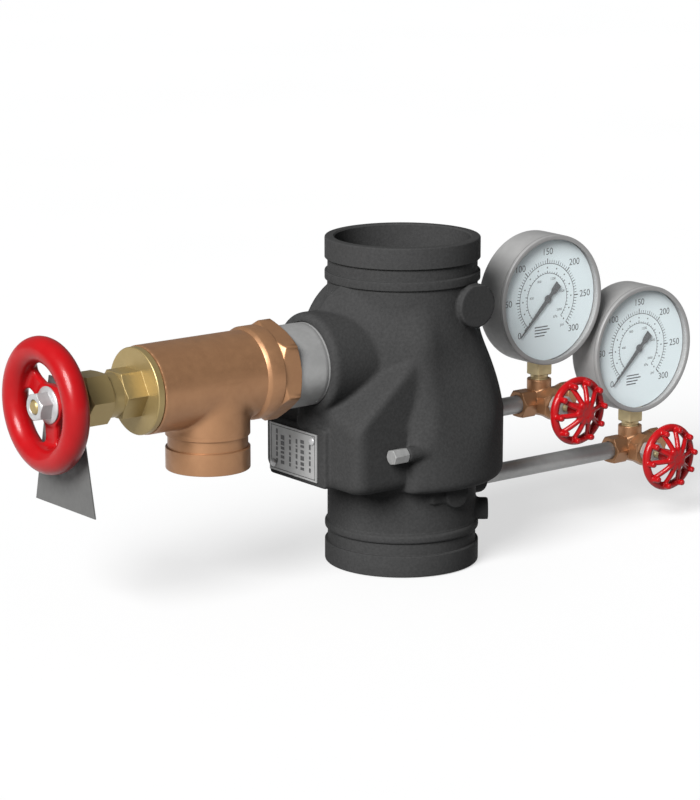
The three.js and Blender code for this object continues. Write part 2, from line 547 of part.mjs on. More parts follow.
  const circle = new THREE.TorusGeometry(WHEEL.ring, WHEEL.tube, 10, 28);
  circle.rotateX(Math.PI / 2);
  const rim = solid(moved(aim(circle, '-x'), -WHEEL.s, 0, DRAIN_Z));
  const hub = rod(WHEEL.hubR, WHEEL.hubLow, WHEEL.hubHigh, '-x', at, MEDIUM);
  const spokes = [0, 1, 2].map((i) => {
    const web = new THREE.BoxGeometry(5.5, 14, WHEEL.ring - 4);
    web.translate(0, 0, -(WHEEL.ring + 4) / 2);
    web.rotateX(i * 2 * Math.PI / 3);
    return solid(moved(web, -(WHEEL.hubLow + WHEEL.hubHigh) / 2 - 0.4, 0, DRAIN_Z));
  });
  const wheel = unite([rim, hub, ...spokes]).subtract(rod(STEM_TIP_R + GAP, 200, 330, '-x', at, COARSE));
  add('drain_handwheel', wheel, 'red');
  const flange = turned([
    [0, WHEEL_NUT.low], [WHEEL_NUT.flange, WHEEL_NUT.low], [WHEEL_NUT.flange, WHEEL_NUT.low + 1.2],
    [WHEEL_NUT.flats / 2 + 0.5, WHEEL_NUT.step], [0, WHEEL_NUT.step],
  ], '-x', at, MEDIUM);
  const wheelNut = flange
    .add(nutBlank(WHEEL_NUT.flats, WHEEL_NUT.low + 0.5, WHEEL_NUT.high, '-x', at, 0.2))
    .subtract(rod(STEM_TIP_R + GAP, 200, 330, '-x', at, COARSE));
  add('drain_wheel_nut', wheelNut, 'steel');

  const reach = TAG.half - TAG.slope * (TAG.top - TAG.low);
  const outline = new THREE.Shape();
  outline.moveTo(-TAG.half, TAG.low);
  outline.lineTo(TAG.half, TAG.low);
  outline.lineTo(reach, TAG.top);
  outline.lineTo(-reach, TAG.top);
  outline.closePath();
  const sheet = new THREE.ExtrudeGeometry(outline, { depth: TAG.thick, bevelEnabled: false });
  sheet.rotateX(Math.PI / 2);
  sheet.rotateZ(Math.PI / 2);
  const tag = solid(moved(sheet, -TAG.s, 0, 0)).subtract(rod(TAG.hole, 200, 330, '-x', at, COARSE));
  add('drain_tag', tag, 'plate');
}

// ---------------------------------------------------------------- gauge trims

function handwheelShape(trim) {
  const at = [trim.x, 0, trim.z];
  const loop = new THREE.TorusGeometry(HAND.ring, HAND.tube, 6, 24);
  loop.rotateX(Math.PI / 2);
  const pieces = [solid(moved(loop, trim.x, -HAND.t, trim.z))];
  pieces.push(turned([
    [0, HAND.hubLow], [HAND.hub, HAND.hubLow], [HAND.hub, HAND.face - 3.5], [HAND.hub + 2, HAND.face - 2],
    [HAND.hub + 1.5, HAND.face], [0, HAND.face],
  ], '-y', at, COARSE));
  for (let i = 0; i < HAND_SPOKES; i += 1) {
    const a = HAND_PHASE + i * 2 * Math.PI / HAND_SPOKES;
    const length = HAND.ring - HAND.hub + 3;
    const spoke = new THREE.CylinderGeometry(1.4, 1.6, length, 4);
    spoke.rotateZ(-Math.PI / 2);
    spoke.rotateZ(0.2);
    spoke.translate(HAND.hub + length / 2 - 2, -HAND.face + 4.2, 0);
    spoke.rotateY(-a);
    pieces.push(solid(moved(spoke, trim.x, 0, trim.z)));
    const foot = [trim.x + HAND.ring * Math.cos(a), 0, trim.z + HAND.ring * Math.sin(a)];
    pieces.push(turned([
      [0, HAND.t], [HAND.knobR, HAND.t], [HAND.knobR, HAND.knobEnd - 1.8],
      [HAND.knobR - 1.3, HAND.knobEnd], [0, HAND.knobEnd],
    ], '-y', foot, 6));
  }
  return unite(pieces).subtract(rod(COCK_STEM_TIP_R + GAP, 30, HAND.face - 5, '-y', at, SMALL));
}

function buildCock(trim) {
  const at = [trim.x, 0, trim.z];
  const name = (piece) => `${trim.tag}_${piece}`;
  const pipeEnd = trim.x + COCK.hexLow + 12;
  const pipe = ring(PIPE4_BORE, PIPE4_R, trim.pipeIn, pipeEnd, 'x', [0, 0, trim.z], COARSE);
  add(name('gauge_pipe'), pipe, 'zinc');

  const outside = unite([
    nutBlank(COCK.flats, COCK.hexLow, COCK.hexHigh, 'x', at, 0),
    rod(COCK.r, COCK.hexHigh - 1, COCK.farLow + 1, 'x', at, COARSE),
    nutBlank(COCK.flats, COCK.farLow, COCK.farHigh, 'x', at, Math.PI / 6),
    rod(COCK.port, 0, COCK_PORT_TOP, 'z', at, MEDIUM),
    rod(COCK_BONNET.boss, 0, COCK_BONNET.bossEnd, '-y', at, COARSE),
  ]);
  const body = cut(outside, [
    rod(PIPE4_R + GAP, COCK.hexLow - 1, COCK.hexLow + 12 + GAP, 'x', at, COARSE),
    rod(2.5, COCK.hexLow, COCK.farHigh, 'x', at, SMALL),
    rod(SOCKET.thread + GAP, SOCKET.threadLow - GAP, COCK_PORT_TOP + 1, 'z', at, COARSE),
    rod(2.5, 0, COCK_PORT_TOP, 'z', at, SMALL),
    rod(COCK_BONNET.plug + GAP, -3, COCK_BONNET.bossEnd + 1, '-y', at, COARSE),
    rod(4.8 + GAP, COCK.farLow + 2, COCK.farHigh + 1, 'x', at, COARSE),
  ]);
  add(name('gauge_valve_body'), body, 'bronze');

  const plug = nutBlank(12, COCK.farHigh + GAP, COCK.farHigh + 5, 'x', at, 0)
    .add(rod(4.8, COCK.farLow + 3, COCK.farHigh + 1, 'x', at, COARSE));
  add(name('test_plug'), plug, 'steel');

  const bonnet = unite([
    rod(COCK_BONNET.plug, COCK_BONNET.plugLow, COCK_BONNET.low + 1, '-y', at, COARSE),
    nutBlank(COCK_BONNET.flats, COCK_BONNET.low, COCK_BONNET.high, '-y', at, Math.PI / 2),
    rod(COCK_NUT.thread, COCK_BONNET.high - 1, COCK_NUT.threadEnd, '-y', at, COARSE),
  ]).subtract(rod(COCK_STEM_R + GAP, 0, 40, '-y', at, SMALL));
  add(name('gauge_valve_bonnet'), bonnet, 'bronze');
  const nut = nutBlank(COCK_NUT.flats, COCK_NUT.low, COCK_NUT.high, '-y', at, 0)
    .subtract(rod(COCK_NUT.thread + GAP, 0, COCK_NUT.inner, '-y', at, COARSE))
    .subtract(rod(COCK_STEM_R + GAP, 0, 40, '-y', at, SMALL));
  add(name('gauge_valve_nut'), nut, 'steel');

  const disc = ring(2.6, COCK_DISC.r, COCK_DISC.low, COCK_DISC.high, '-y', at, COARSE);
  add(name('gauge_valve_disc'), disc, 'brass');
  const stem = turned([
    [0, -2], [2.3, -2], [2.3, COCK_DISC.high + GAP], [COCK_STEM_R, COCK_DISC.high + GAP],
    [COCK_STEM_R, HAND.hubLow - GAP], [COCK_STEM_TIP_R, HAND.hubLow - GAP],
    [COCK_STEM_TIP_R, HAND.face - 5 - GAP], [0, HAND.face - 5 - GAP],
  ], '-y', at, SMALL);
  add(name('gauge_valve_stem'), stem, 'brass');
  add(name('gauge_valve_handwheel'), handwheelShape(trim), 'red');
}

function buildGauge(trim) {
  const name = (piece) => `${trim.tag}_${piece}`;
  const centre = trim.z + GAUGE_RISE;
  const at = [trim.x, 0, centre];
  const half = SOCKET.side / 2;
  const socketTop = trim.z + SOCKET.high;
  const socket = block(trim.x - half, trim.x + half, -half, half, trim.z + SOCKET.low, socketTop)
    .add(rod(SOCKET.thread, SOCKET.threadLow, SOCKET.low + 1, 'z', [trim.x, 0, trim.z], COARSE))
    .subtract(rod(2, 0, SOCKET.high - 6, 'z', [trim.x, 0, trim.z], SMALL));
  add(name('gauge_socket'), socket, 'brass');

  const shell = turned([
    [0, -CASE.back], [CASE.r - 3, -CASE.back], [CASE.r, -CASE.back + 3], [CASE.rim, -CASE.front],
    [CASE.rim - CASE.wall, -CASE.front], [CASE.rim - CASE.wall, -CASE.back + CASE.wall],
    [0, -CASE.back + CASE.wall],
  ], '-y', at, FINE);
  const mouth = block(trim.x - half - GAP, trim.x + half + GAP, -half - GAP, half + GAP,
    trim.z + 20, socketTop);
  add(name('gauge_case'), shell.subtract(mouth), 'grey');

  const bezel = turned([
    [BEZEL.inner, -BEZEL.face], [CASE.rim - 0.5, -BEZEL.face], [CASE.rim, -BEZEL.face - 0.5],
    [CASE.rim, -CASE.front + GAP], [CASE.rim - CASE.wall, -CASE.front + GAP],
    [CASE.rim - CASE.wall, -BEZEL.face - BEZEL.lip], [BEZEL.inner, -BEZEL.face - BEZEL.lip],
  ], '-y', at, FINE);
  add(name('gauge_bezel'), bezel, 'grey');
  add(name('gauge_window'), rod(GLASS.r, -GLASS.high, -GLASS.low, '-y', at, FINE), 'glass');
  const dial = ring(DIAL.hole, DIAL.r, -DIAL.front - DIAL.thick, -DIAL.front, '-y', at, FINE);
  add(name('gauge_dial'), dial, 'white');

  const blade = new THREE.Shape();
  blade.moveTo(POINTER.tip, 0);
  blade.lineTo(0, 1.7);
  blade.lineTo(-POINTER.tail * 0.45, 1.2);
  blade.lineTo(-POINTER.tail, 3.4);
  blade.lineTo(-POINTER.tail, -3.4);
  blade.lineTo(-POINTER.tail * 0.45, -1.2);
  blade.lineTo(0, -1.7);
  blade.closePath();
  const sheet = new THREE.ExtrudeGeometry(blade, { depth: POINTER.thick, bevelEnabled: false });
  sheet.rotateZ(POINTER.zero * Math.PI / 180);
  sheet.rotateX(Math.PI / 2);
  const pointer = solid(moved(sheet, trim.x, POINTER.low + POINTER.thick, centre))
    .add(rod(POINTER.hub, -POINTER.low - POINTER.thick, -POINTER.low + 0.4, '-y', at, COARSE))
    .add(rod(POINTER.shaft, 2, -POINTER.low, '-y', at, SMALL));
  add(name('gauge_pointer'), pointer, 'ink');

  const bend = [];
  for (let i = 0; i <= 24; i += 1) {
    const a = (BOURDON.start + BOURDON.sweep * i / 24) * Math.PI / 180;
    const across = trim.x + BOURDON.ring * Math.cos(a);
    bend.push(new THREE.Vector3(across, BOURDON.y, centre + BOURDON.ring * Math.sin(a)));
  }
  const section = new THREE.Shape();
  section.absellipse(0, 0, BOURDON.flat, BOURDON.half, 0, 2 * Math.PI);
  const tube = new THREE.ExtrudeGeometry(section, {
    steps: 20, curveSegments: 4, bevelEnabled: false, extrudePath: new THREE.CatmullRomCurve3(bend),
  });
  const seat = block(trim.x - half - GAP, trim.x + half + GAP, -half - GAP, half + GAP,
    trim.z, socketTop + GAP);
  add(name('bourdon_tube'), solid(tube).subtract(seat), 'brass');
}

buildBody();
buildPlate();
buildClapper();
buildDrain();
for (const trim of TRIMS) {
  buildCock(trim);
  buildGauge(trim);
}

export default part;
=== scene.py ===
"""Looks of the grooved-end riser check valve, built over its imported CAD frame. Lengths are in millimetres
until a piece is made, which scales them to metres. The frame is the CAD frame: +Z up, dials facing -Y."""

import math

import bmesh
import bpy
import numpy as np
from mathutils import Matrix, Vector


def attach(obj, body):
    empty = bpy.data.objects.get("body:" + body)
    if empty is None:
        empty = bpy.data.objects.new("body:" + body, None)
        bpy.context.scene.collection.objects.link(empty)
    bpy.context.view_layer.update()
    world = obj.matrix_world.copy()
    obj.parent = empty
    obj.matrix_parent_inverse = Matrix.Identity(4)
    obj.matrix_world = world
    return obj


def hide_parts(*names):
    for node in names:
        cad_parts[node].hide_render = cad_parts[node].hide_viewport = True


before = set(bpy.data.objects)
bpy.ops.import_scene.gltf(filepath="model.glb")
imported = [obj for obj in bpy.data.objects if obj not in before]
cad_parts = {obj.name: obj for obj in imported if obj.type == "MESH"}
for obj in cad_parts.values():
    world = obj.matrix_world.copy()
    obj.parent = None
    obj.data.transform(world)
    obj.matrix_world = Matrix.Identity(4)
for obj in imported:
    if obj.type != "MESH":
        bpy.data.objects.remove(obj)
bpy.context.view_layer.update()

MM = 0.001
TAU = 2 * math.pi

# riser: overall, then the width of gasket seat, groove and ridge at each end, then the ends of the core
# between the rings, the clapper seat, the hollow round it, the block on the drain side, the plug, the hinge
HEIGHT, PIPE_R, GROOVE_R, NECK_R, BORE_R = 244.0, 57.15, 55.05, 55.2, 49.85
GASKET_W, GROOVE_W, RIDGE_W = 15.88, 9.0, 6.5
CORE_LOW, CORE_HIGH = 31.0, 213.0
SEAT_LOW, SEAT_MID, SEAT_TOP, SEAT_BORE = 60.3, 66.0, 75.0, 45.0
HOLLOW_R, HOLLOW_LOW = 69.0, 74.0
LOBE_END, LOBE_HALF, LOBE_LOW, LOBE_HIGH = -86.0, 57.0, 69.5, 172.0
PLUG_Y, PLUG_Z = -63.4, 98.0
HINGE_X, HINGE_Z = 58.0, 92.0
# drain valve, s outward along -X
DRAIN_Z = 159.8
OUTLET_X = -175.6
# gauge trims: prefix, x, z, where the pipe starts
TRIMS = [("outlet", 134.5, 101.2, 73.0), ("inlet", 230.2, 50.8, 57.0)]
# from a trim's pipe up to the middle of its dial
RISE = 80.4
# degrees from the right: where a dial's scale starts, and how far it turns
DIAL_ZERO, DIAL_SWEEP = 225, 270

# ------------------------------------------------------------------ meshes


def revolve(profile, axis, at=(0, 0, 0), n=96, phase=0.0):
    """A turned shape. Profile rows are (radius, distance along the axis[, hexagon flats])."""
    closed = profile[0][0] > 0
    angles = [TAU * i / n + phase for i in range(n)]
    verts, rings = [], []
    for row in profile:
        r, s = row[0], row[1]
        flats = row[2] if len(row) > 2 else None
        if r == 0:
            rings.append([len(verts)])
            verts.append((0.0, 0.0, s))
            continue
        ring = []
        for a in angles:
            rr = r
            if flats:
                t = (a - phase + math.pi / 6) % (math.pi / 3) - math.pi / 6
                rr = min(r, flats / 2 / math.cos(t))
            ring.append(len(verts))
            verts.append((rr * math.cos(a), rr * math.sin(a), s))
        rings.append(ring)
    faces = []
    pairs = list(zip(rings, rings[1:]))
    if closed:
        pairs.append((rings[-1], rings[0]))
    for low, high in pairs:
        for i in range(n):
            j = (i + 1) % n
            if len(low) == 1 and len(high) == 1:
                break
            if len(low) == 1:
                faces.append((low[0], high[j], high[i]))
            elif len(high) == 1:
                faces.append((low[i], low[j], high[0]))
            else:
                faces.append((low[i], low[j], high[j], high[i]))
    v = np.array(verts)
    x, y, z = v[:, 0], v[:, 1], v[:, 2]
    if axis == "z":
        v = np.stack([x, y, z], 1)
    elif axis == "-x":
        v = np.stack([-z, y, x], 1)
    elif axis == "x":
        v = np.stack([z, y, -x], 1)
    elif axis == "-y":
        v = np.stack([x, -z, y], 1)
    elif axis == "y":
        v = np.stack([-x, z, y], 1)
    return v + np.array(at, float), faces


def arc(r, s, radius, start, end, steps=4):
    """Profile points on a small arc about (r, s); angles in degrees, 0 pointing away from the axis."""
    out = []
    for i in range(steps + 1):
        a = math.radians(start + (end - start) * i / steps)
        out.append((r + radius * math.cos(a), s + radius * math.sin(a)))
    return out


def slope(r, dr, s, ds, flats, steps=5):
    """Profile rows over the turned corners of a hexagon, from (r, s) to (r + dr, s + ds)."""
    return [(r + dr * k / steps, s + ds * k / steps, flats) for k in range(steps + 1)]


def rod(r, low, high, axis, at, n=48, bevel=0.4):
    b = min(bevel, r * 0.4)
    rows = [(0, low)] + arc(r - b, low + b, b, -90, 0, 3) + arc(r - b, high - b, b, 0, 90, 3) + [(0, high)]
    return revolve(rows, axis, at, n)


def tube(inner, outer, low, high, axis, at, n=64, b=0.3):
    rows = [(inner + b, low), (outer - b, low), (outer, low + b), (outer, high - b), (outer - b, high),
            (inner + b, high), (inner, high - b), (inner, low + b)]
    return revolve(rows, axis, at, n)


def nut(flats, low, high, axis, at, turn=0.0, bore=0.0, n=96):
    """A hexagon with its corners turned down; turn 0 puts a corner at 30 degrees from the first axis."""
    drop = flats / math.sqrt(3) - flats / 2
    rise = drop * 0.58
    face_r = flats / 2 - 0.2
    rows = [(bore, low), (face_r, low)]
    rows += slope(face_r, drop + 0.3, low, rise, flats)
    rows += slope(face_r, drop + 0.3, high, -rise, flats)[::-1]
    rows += [(face_r, high), (bore, high)]
    return revolve(rows, axis, at, n, turn)


def box(x0, x1, y0, y1, z0, z1, b=0.5):
    """A block with bevelled edges."""
    xs = [(x0, x0 + b), (x1, x1 - b)]
    ys = [(y0, y0 + b), (y1, y1 - b)]
    zs = [(z0, z0 + b), (z1, z1 - b)]
    verts, index = [], {}
    for i in (0, 1):
        for j in (0, 1):
            for k in (0, 1):
                for m in range(3):
                    index[i, j, k, m] = len(verts)
                    verts.append((xs[i][m != 0], ys[j][m != 1], zs[k][m != 2]))
    faces = []
    for m in range(3):
        for side in (0, 1):
            others = [q for q in range(3) if q != m]
            loop = []
            for u, w in ((0, 0), (1, 0), (1, 1), (0, 1)):
                key = [0, 0, 0]
                key[m], key[others[0]], key[others[1]] = side, u, w
                loop.append(index[tuple(key) + (m,)])
            faces.append(loop)
    for m in range(3):
        p, q = [a for a in range(3) if a != m]
        for u in (0, 1):
            for w in (0, 1):
                ends = []
                for side in (0, 1):
                    key = [0, 0, 0]
                    key[m], key[p], key[q] = side, u, w
                    ends.append(tuple(key))
                a, c = ends
                faces.append([index[a + (p,)], index[c + (p,)], index[c + (q,)], index[a + (q,)]])
    for i in (0, 1):
        for j in (0, 1):
            for k in (0, 1):
                faces.append([index[i, j, k, m] for m in range(3)])
    return np.array(verts, float), faces


def sweep(points, radius, sides=10, flat=1.0):
    """A capped tube along points; flat squeezes it sideways."""
    p = np.array(points, float)
    n = len(p)
    t = np.gradient(p, axis=0)
    t /= np.linalg.norm(t, axis=1)[:, None]
    ref = np.array([0.0, 1.0, 0.0])
    verts, faces = [], []
    for i in range(n):
        side = np.cross(t[i], ref)
        if np.linalg.norm(side) < 1e-4:
            side = np.cross(t[i], [1.0, 0, 0])
        side /= np.linalg.norm(side)
        up = np.cross(side, t[i])
        for k in range(sides):
            a = TAU * k / sides
            verts.append(p[i] + radius * (side * math.cos(a) * flat + up * math.sin(a)))
    for i in range(n - 1):
        j = i + 1
        for k in range(sides):
            m = (k + 1) % sides
            faces.append((i * sides + k, i * sides + m, j * sides + m, j * sides + k))
    faces.append(tuple(range(sides)))
    faces.append(tuple((n - 1) * sides + k for k in range(sides)))
    return np.array(verts), faces


def smin(a, b, k):
    """Joins two distance fields with a fillet about k wide."""
    h = np.clip(0.5 + 0.5 * (b - a) / k, 0, 1)
    return b * (1 - h) + a * h - k * h * (1 - h)


def smax(a, b, k):
    """Keeps what two distance fields share, its edge rounded over about k."""
    return -smin(-a, -b, k)


def shell(field, low, high, step):
    """The zero surface of field(x, y, z) as quads, one vertex in each cell that it crosses."""
    axes = [np.arange(lo, hi + step, step) for lo, hi in zip(low, high)]
    x, y, z = np.meshgrid(*axes, indexing="ij", sparse=True)
    v = field(x, y, z).astype(np.float32)
    v = np.broadcast_to(v, tuple(len(a) for a in axes)).copy()
    for axis in range(3):
        edge = [slice(None)] * 3
        for end in (0, -1):
            edge[axis] = end
            v[tuple(edge)] = np.maximum(v[tuple(edge)], step * 0.3)
    inside = v < 0
    nx, ny, nz = (s - 1 for s in v.shape)
    total = np.zeros((nx, ny, nz, 3), np.float32)
    count = np.zeros((nx, ny, nz), np.int32)
    for axis in range(3):
        others = [a for a in range(3) if a != axis]
        for o1 in (0, 1):
            for o2 in (0, 1):
                first = [slice(0, nx), slice(0, ny), slice(0, nz)]
                for a, o in zip(others, (o1, o2)):
                    first[a] = slice(o, (nx, ny, nz)[a] + o)
                second = list(first)
                second[axis] = slice(1, (nx, ny, nz)[axis] + 1)
                va, vb = v[tuple(first)], v[tuple(second)]
                cross = (va < 0) != (vb < 0)
                t = np.where(cross, va / np.where(cross, va - vb, 1), 0)
                count += cross
                total[..., axis] += np.where(cross, t, 0)
                total[..., others[0]] += cross * o1
                total[..., others[1]] += cross * o2
    used = count > 0
    ids = np.full(used.shape, -1, np.int64)
    ids[used] = np.arange(used.sum())
    cells = np.argwhere(used)
    verts = (cells + total[used] / count[used][:, None]) * step + np.array(low, float)
    quads = []
    for axis in range(3):
        a, b = [q for q in range(3) if q != axis]
        first = [slice(None)] * 3
        second = [slice(None)] * 3
        first[axis], second[axis] = slice(0, -1), slice(1, None)
        change = inside[tuple(first)] != inside[tuple(second)]
        spots = np.argwhere(change)
        past_low = (spots[:, a] > 0) & (spots[:, b] > 0)
        before_high = (spots[:, a] < v.shape[a] - 1) & (spots[:, b] < v.shape[b] - 1)
        spots = spots[past_low & before_high]
        corners = []
        for da, db in ((-1, -1), (0, -1), (0, 0), (-1, 0)):
            c = spots.copy()
            c[:, a] += da
            c[:, b] += db
            corners.append(ids[c[:, 0], c[:, 1], c[:, 2]])
        q = np.stack(corners, 1)
        starts_in = inside[spots[:, 0], spots[:, 1], spots[:, 2]]
        flip = starts_in if axis != 1 else ~starts_in
        q[~flip] = q[~flip][:, ::-1]
        quads.append(q)
    return verts, np.concatenate(quads)


def piece(name, parts, material, body, replaces=(), sharp=32.0, bevel=0.0, flat=False):
    """One object from (vertices, faces) parts in millimetres, riding on a CAD body."""
    verts, faces, start = [], [], 0
    for v, f in parts:
        v = np.asarray(v, float)
        verts.append(v)
        if isinstance(f, np.ndarray):
            faces += (f + start).tolist()
        else:
            faces += [[i + start for i in face] for face in f]
        start += len(v)
    mesh = bpy.data.meshes.new(name)
    mesh.from_pydata((np.concatenate(verts) * MM).tolist(), [], faces)
    mesh.validate()
    if not flat:
        mesh.shade_smooth()
        if sharp:
            mesh.set_sharp_from_angle(angle=math.radians(sharp))
    obj = bpy.data.objects.new(name, mesh)
    bpy.context.scene.collection.objects.link(obj)
    mesh.materials.append(material)
    if bevel:
        mod = obj.modifiers.new("edge", "BEVEL")
        mod.width = bevel * MM
        mod.segments = 2
        mod.limit_method = "ANGLE"
        mod.angle_limit = math.radians(32)
        mod.use_clamp_overlap = True
    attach(obj, body)
    if replaces:
        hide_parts(*replaces)
    return obj


def outward(part):
    """Turns a closed part's faces outward."""
    v, f = part
    mesh = bpy.data.meshes.new("turning")
    mesh.from_pydata(v.tolist(), [], [list(q) for q in f])
    bm = bmesh.new()
    bm.from_mesh(mesh)
    bmesh.ops.recalc_face_normals(bm, faces=bm.faces)
    bm.to_mesh(mesh)
    bm.free()
    out = np.array([q.co[:] for q in mesh.vertices]), [list(p.vertices) for p in mesh.polygons]
    bpy.data.meshes.remove(mesh)
    return out


# ------------------------------------------------------------------ materials


def material(name, base, metallic, rough, mottle=None, mottle_scale=60, grain=(), wear=None, lathe=None,
             coat=0.0, coat_rough=0.15, specular=0.5, alpha=1.0, spread=0.08):
    """A Principled material whose colour, roughness and bump vary with position on the object.
    grain rows are (scale per metre, strength, height in mm); wear is (colour on edges, pointiness where it
    starts, pointiness where it is full, amount); lathe is (axis, centre in mm, strength)."""
    m = bpy.data.materials.new(name)
    m.use_nodes = True
    nt = m.node_tree
    nodes, links = nt.nodes, nt.links
    shader = nodes["Principled BSDF"]
    shader.inputs["Metallic"].default_value = metallic
    shader.inputs["Specular IOR Level"].default_value = specular
    shader.inputs["Coat Weight"].default_value = coat
    shader.inputs["Coat Roughness"].default_value = coat_rough
    shader.inputs["Alpha"].default_value = alpha
    coord = nodes.new("ShaderNodeTexCoord")

    def noise(scale, detail, vector=None):
        node = nodes.new("ShaderNodeTexNoise")
        node.inputs["Scale"].default_value = scale
        node.inputs["Detail"].default_value = detail
        node.inputs["Roughness"].default_value = 0.55
        links.new(vector or coord.outputs["Object"], node.inputs["Vector"])
        return node.outputs["Fac"]

    def ranged(value, low, high, out_low, out_high):
        node = nodes.new("ShaderNodeMapRange")
        for key, number in zip(("From Min", "From Max", "To Min", "To Max"), (low, high, out_low, out_high)):
            node.inputs[key].default_value = number
        links.new(value, node.inputs["Value"])
        return node.outputs["Result"]

    def mixed(factor, a, b):
        node = nodes.new("ShaderNodeMix")
        node.data_type = "RGBA"
        links.new(factor, node.inputs["Factor"])
        for socket, value in ((node.inputs["A"], a), (node.inputs["B"], b)):
            if isinstance(value, tuple):
                socket.default_value = (*value, 1)
            else:
                links.new(value, socket)
        return node.outputs["Result"]

    second = mottle or tuple(c * 0.8 for c in base)
    colour = mixed(ranged(noise(mottle_scale, 4.0), 0.35, 0.65, 0, 1), base, second)
    if wear:
        edge = nodes.new("ShaderNodeNewGeometry").outputs["Pointiness"]
        lifted = ranged(edge, wear[1], wear[2], 0, wear[3])
        scuff = nodes.new("ShaderNodeMath")
        scuff.operation = "MULTIPLY"
        links.new(lifted, scuff.inputs[0])
        links.new(ranged(noise(220, 5.0), 0.35, 0.6, 0.25, 1), scuff.inputs[1])
        colour = mixed(scuff.outputs[0], colour, wear[0])
    links.new(colour, shader.inputs["Base Color"])
    links.new(ranged(noise(mottle_scale * 2.3, 5.0), 0.3, 0.7, rough - spread, rough + spread),
              shader.inputs["Roughness"])
    normal = None

    def bump(height, strength, depth):
        nonlocal normal
        node = nodes.new("ShaderNodeBump")
        node.inputs["Strength"].default_value = strength
        node.inputs["Distance"].default_value = depth * MM
        links.new(height, node.inputs["Height"])
        if normal:
            links.new(normal, node.inputs["Normal"])
        normal = node.outputs["Normal"]

    for scale, strength, depth in grain:
        bump(noise(scale, 3.0), strength, depth)
    if lathe:
        axis, centre, strength = lathe
        spot = nodes.new("ShaderNodeVectorMath")
        spot.operation = "SUBTRACT"
        links.new(coord.outputs["Object"], spot.inputs[0])
        spot.inputs[1].default_value = tuple(c * MM for c in centre)
        parts = nodes.new("ShaderNodeSeparateXYZ")
        links.new(spot.outputs[0], parts.inputs[0])
        along = parts.outputs["XYZ".index(axis)]
        across = [parts.outputs[i] for i in range(3) if i != "XYZ".index(axis)]
        squares = []
        for socket in across:
            square = nodes.new("ShaderNodeMath")
            square.operation = "MULTIPLY"
            links.new(socket, square.inputs[0])
            links.new(socket, square.inputs[1])
            squares.append(square.outputs[0])
        total = nodes.new("ShaderNodeMath")
        total.operation = "ADD"
        links.new(squares[0], total.inputs[0])
        links.new(squares[1], total.inputs[1])
        root = nodes.new("ShaderNodeMath")
        root.operation = "SQRT"
        links.new(total.outputs[0], root.inputs[0])
        joined = nodes.new("ShaderNodeCombineXYZ")
        links.new(along, joined.inputs[0])
        links.new(root.outputs[0], joined.inputs[1])
        bump(noise(2600, 2.0, joined.outputs[0]), strength, 0.05)
    if normal:
        links.new(normal, shader.inputs["Normal"])
    return m


CAST_GRAIN = ((420, 0.40, 0.45), (1300, 0.45, 0.30))
BLACK = material("cast_black", (0.033, 0.033, 0.033), 0.0, 0.60, (0.041, 0.041, 0.041), 520, CAST_GRAIN,
                 ((0.060, 0.060, 0.061), 0.53, 0.62, 0.35), specular=0.02)
BRONZE = material("bronze_cast", (0.36, 0.188, 0.093), 0.62, 0.42, (0.33, 0.170, 0.084), 90,
                  ((700, 0.10, 0.12), (2400, 0.12, 0.06)))
BRASS = material("brass_turned", (0.34, 0.255, 0.110), 0.60, 0.42, (0.32, 0.238, 0.102), 90,
                 ((1500, 0.04, 0.05),), lathe=("X", (0, 0, DRAIN_Z), 0.07), spread=0.04)
BRASS_SMALL = material("brass_small", (0.52, 0.42, 0.23), 0.55, 0.38, (0.47, 0.38, 0.21), 160,
                       ((1800, 0.08, 0.06),))
STEEL = material("steel_plated", (0.46, 0.46, 0.462), 0.45, 0.42, (0.39, 0.39, 0.392), 150,
                 ((1700, 0.08, 0.06),))
ZINC = material("galvanized", (0.37, 0.37, 0.366), 0.50, 0.45, (0.34, 0.34, 0.336), 180,
                ((900, 0.10, 0.08), (2600, 0.10, 0.05)))
RED = material("red_enamel", (0.33, 0.003, 0.005), 0.0, 0.36, (0.30, 0.0027, 0.0045), 60,
               ((420, 0.10, 0.25), (1500, 0.06, 0.10)), coat=0.22, coat_rough=0.16, specular=0.15)
GREY = material("gauge_grey", (0.275, 0.273, 0.270), 0.15, 0.46, (0.255, 0.253, 0.251), 120,
                ((1600, 0.10, 0.06),))
PLATE = material("plate_grey", (0.34, 0.34, 0.337), 0.3, 0.5, (0.30, 0.30, 0.297), 90,
                 ((1300, 0.08, 0.05), (3200, 0.10, 0.04)))
TAG = material("tag_grey", (0.105, 0.105, 0.102), 0.2, 0.55, (0.098, 0.098, 0.096), 90,
               ((1300, 0.08, 0.05), (3200, 0.10, 0.04)))
PLUG_ZINC = material("plug_zinc", (0.26, 0.26, 0.257), 0.25, 0.55, (0.22, 0.22, 0.217), 260,
                     ((1500, 0.15, 0.08),))
PLATE_INK = material("plate_ink", (0.050, 0.050, 0.051), 0.2, 0.5, (0.065, 0.065, 0.066), 200,
                     ((2500, 0.08, 0.04),))
RUBBER = material("rubber", (0.012, 0.012, 0.013), 0.0, 0.7, (0.02, 0.02, 0.021), 120, ((1400, 0.2, 0.1),))
DIAL = material("dial_face", (0.76, 0.85, 0.87), 0.0, 0.5, (0.74, 0.83, 0.85), 30, ((2200, 0.04, 0.03),))
INK = material("dial_ink", (0.012, 0.013, 0.015), 0.0, 0.5, (0.02, 0.02, 0.022), 200, ((2400, 0.05, 0.03),))
GLASS = material("window", (0.9, 0.94, 0.95), 0.0, 0.06, (0.88, 0.92, 0.94), 20, ((60, 0.02, 0.2),),
                 alpha=0.07, spread=0.02)

# ------------------------------------------------------------------ riser body


def chamber_radius(z):
    """The round chamber's outer radius, which draws in above the clapper."""
    t = np.clip((z - 112.0) / 66.0, 0, 1.15)
    return 75.0 - 21.0 * t**1.55


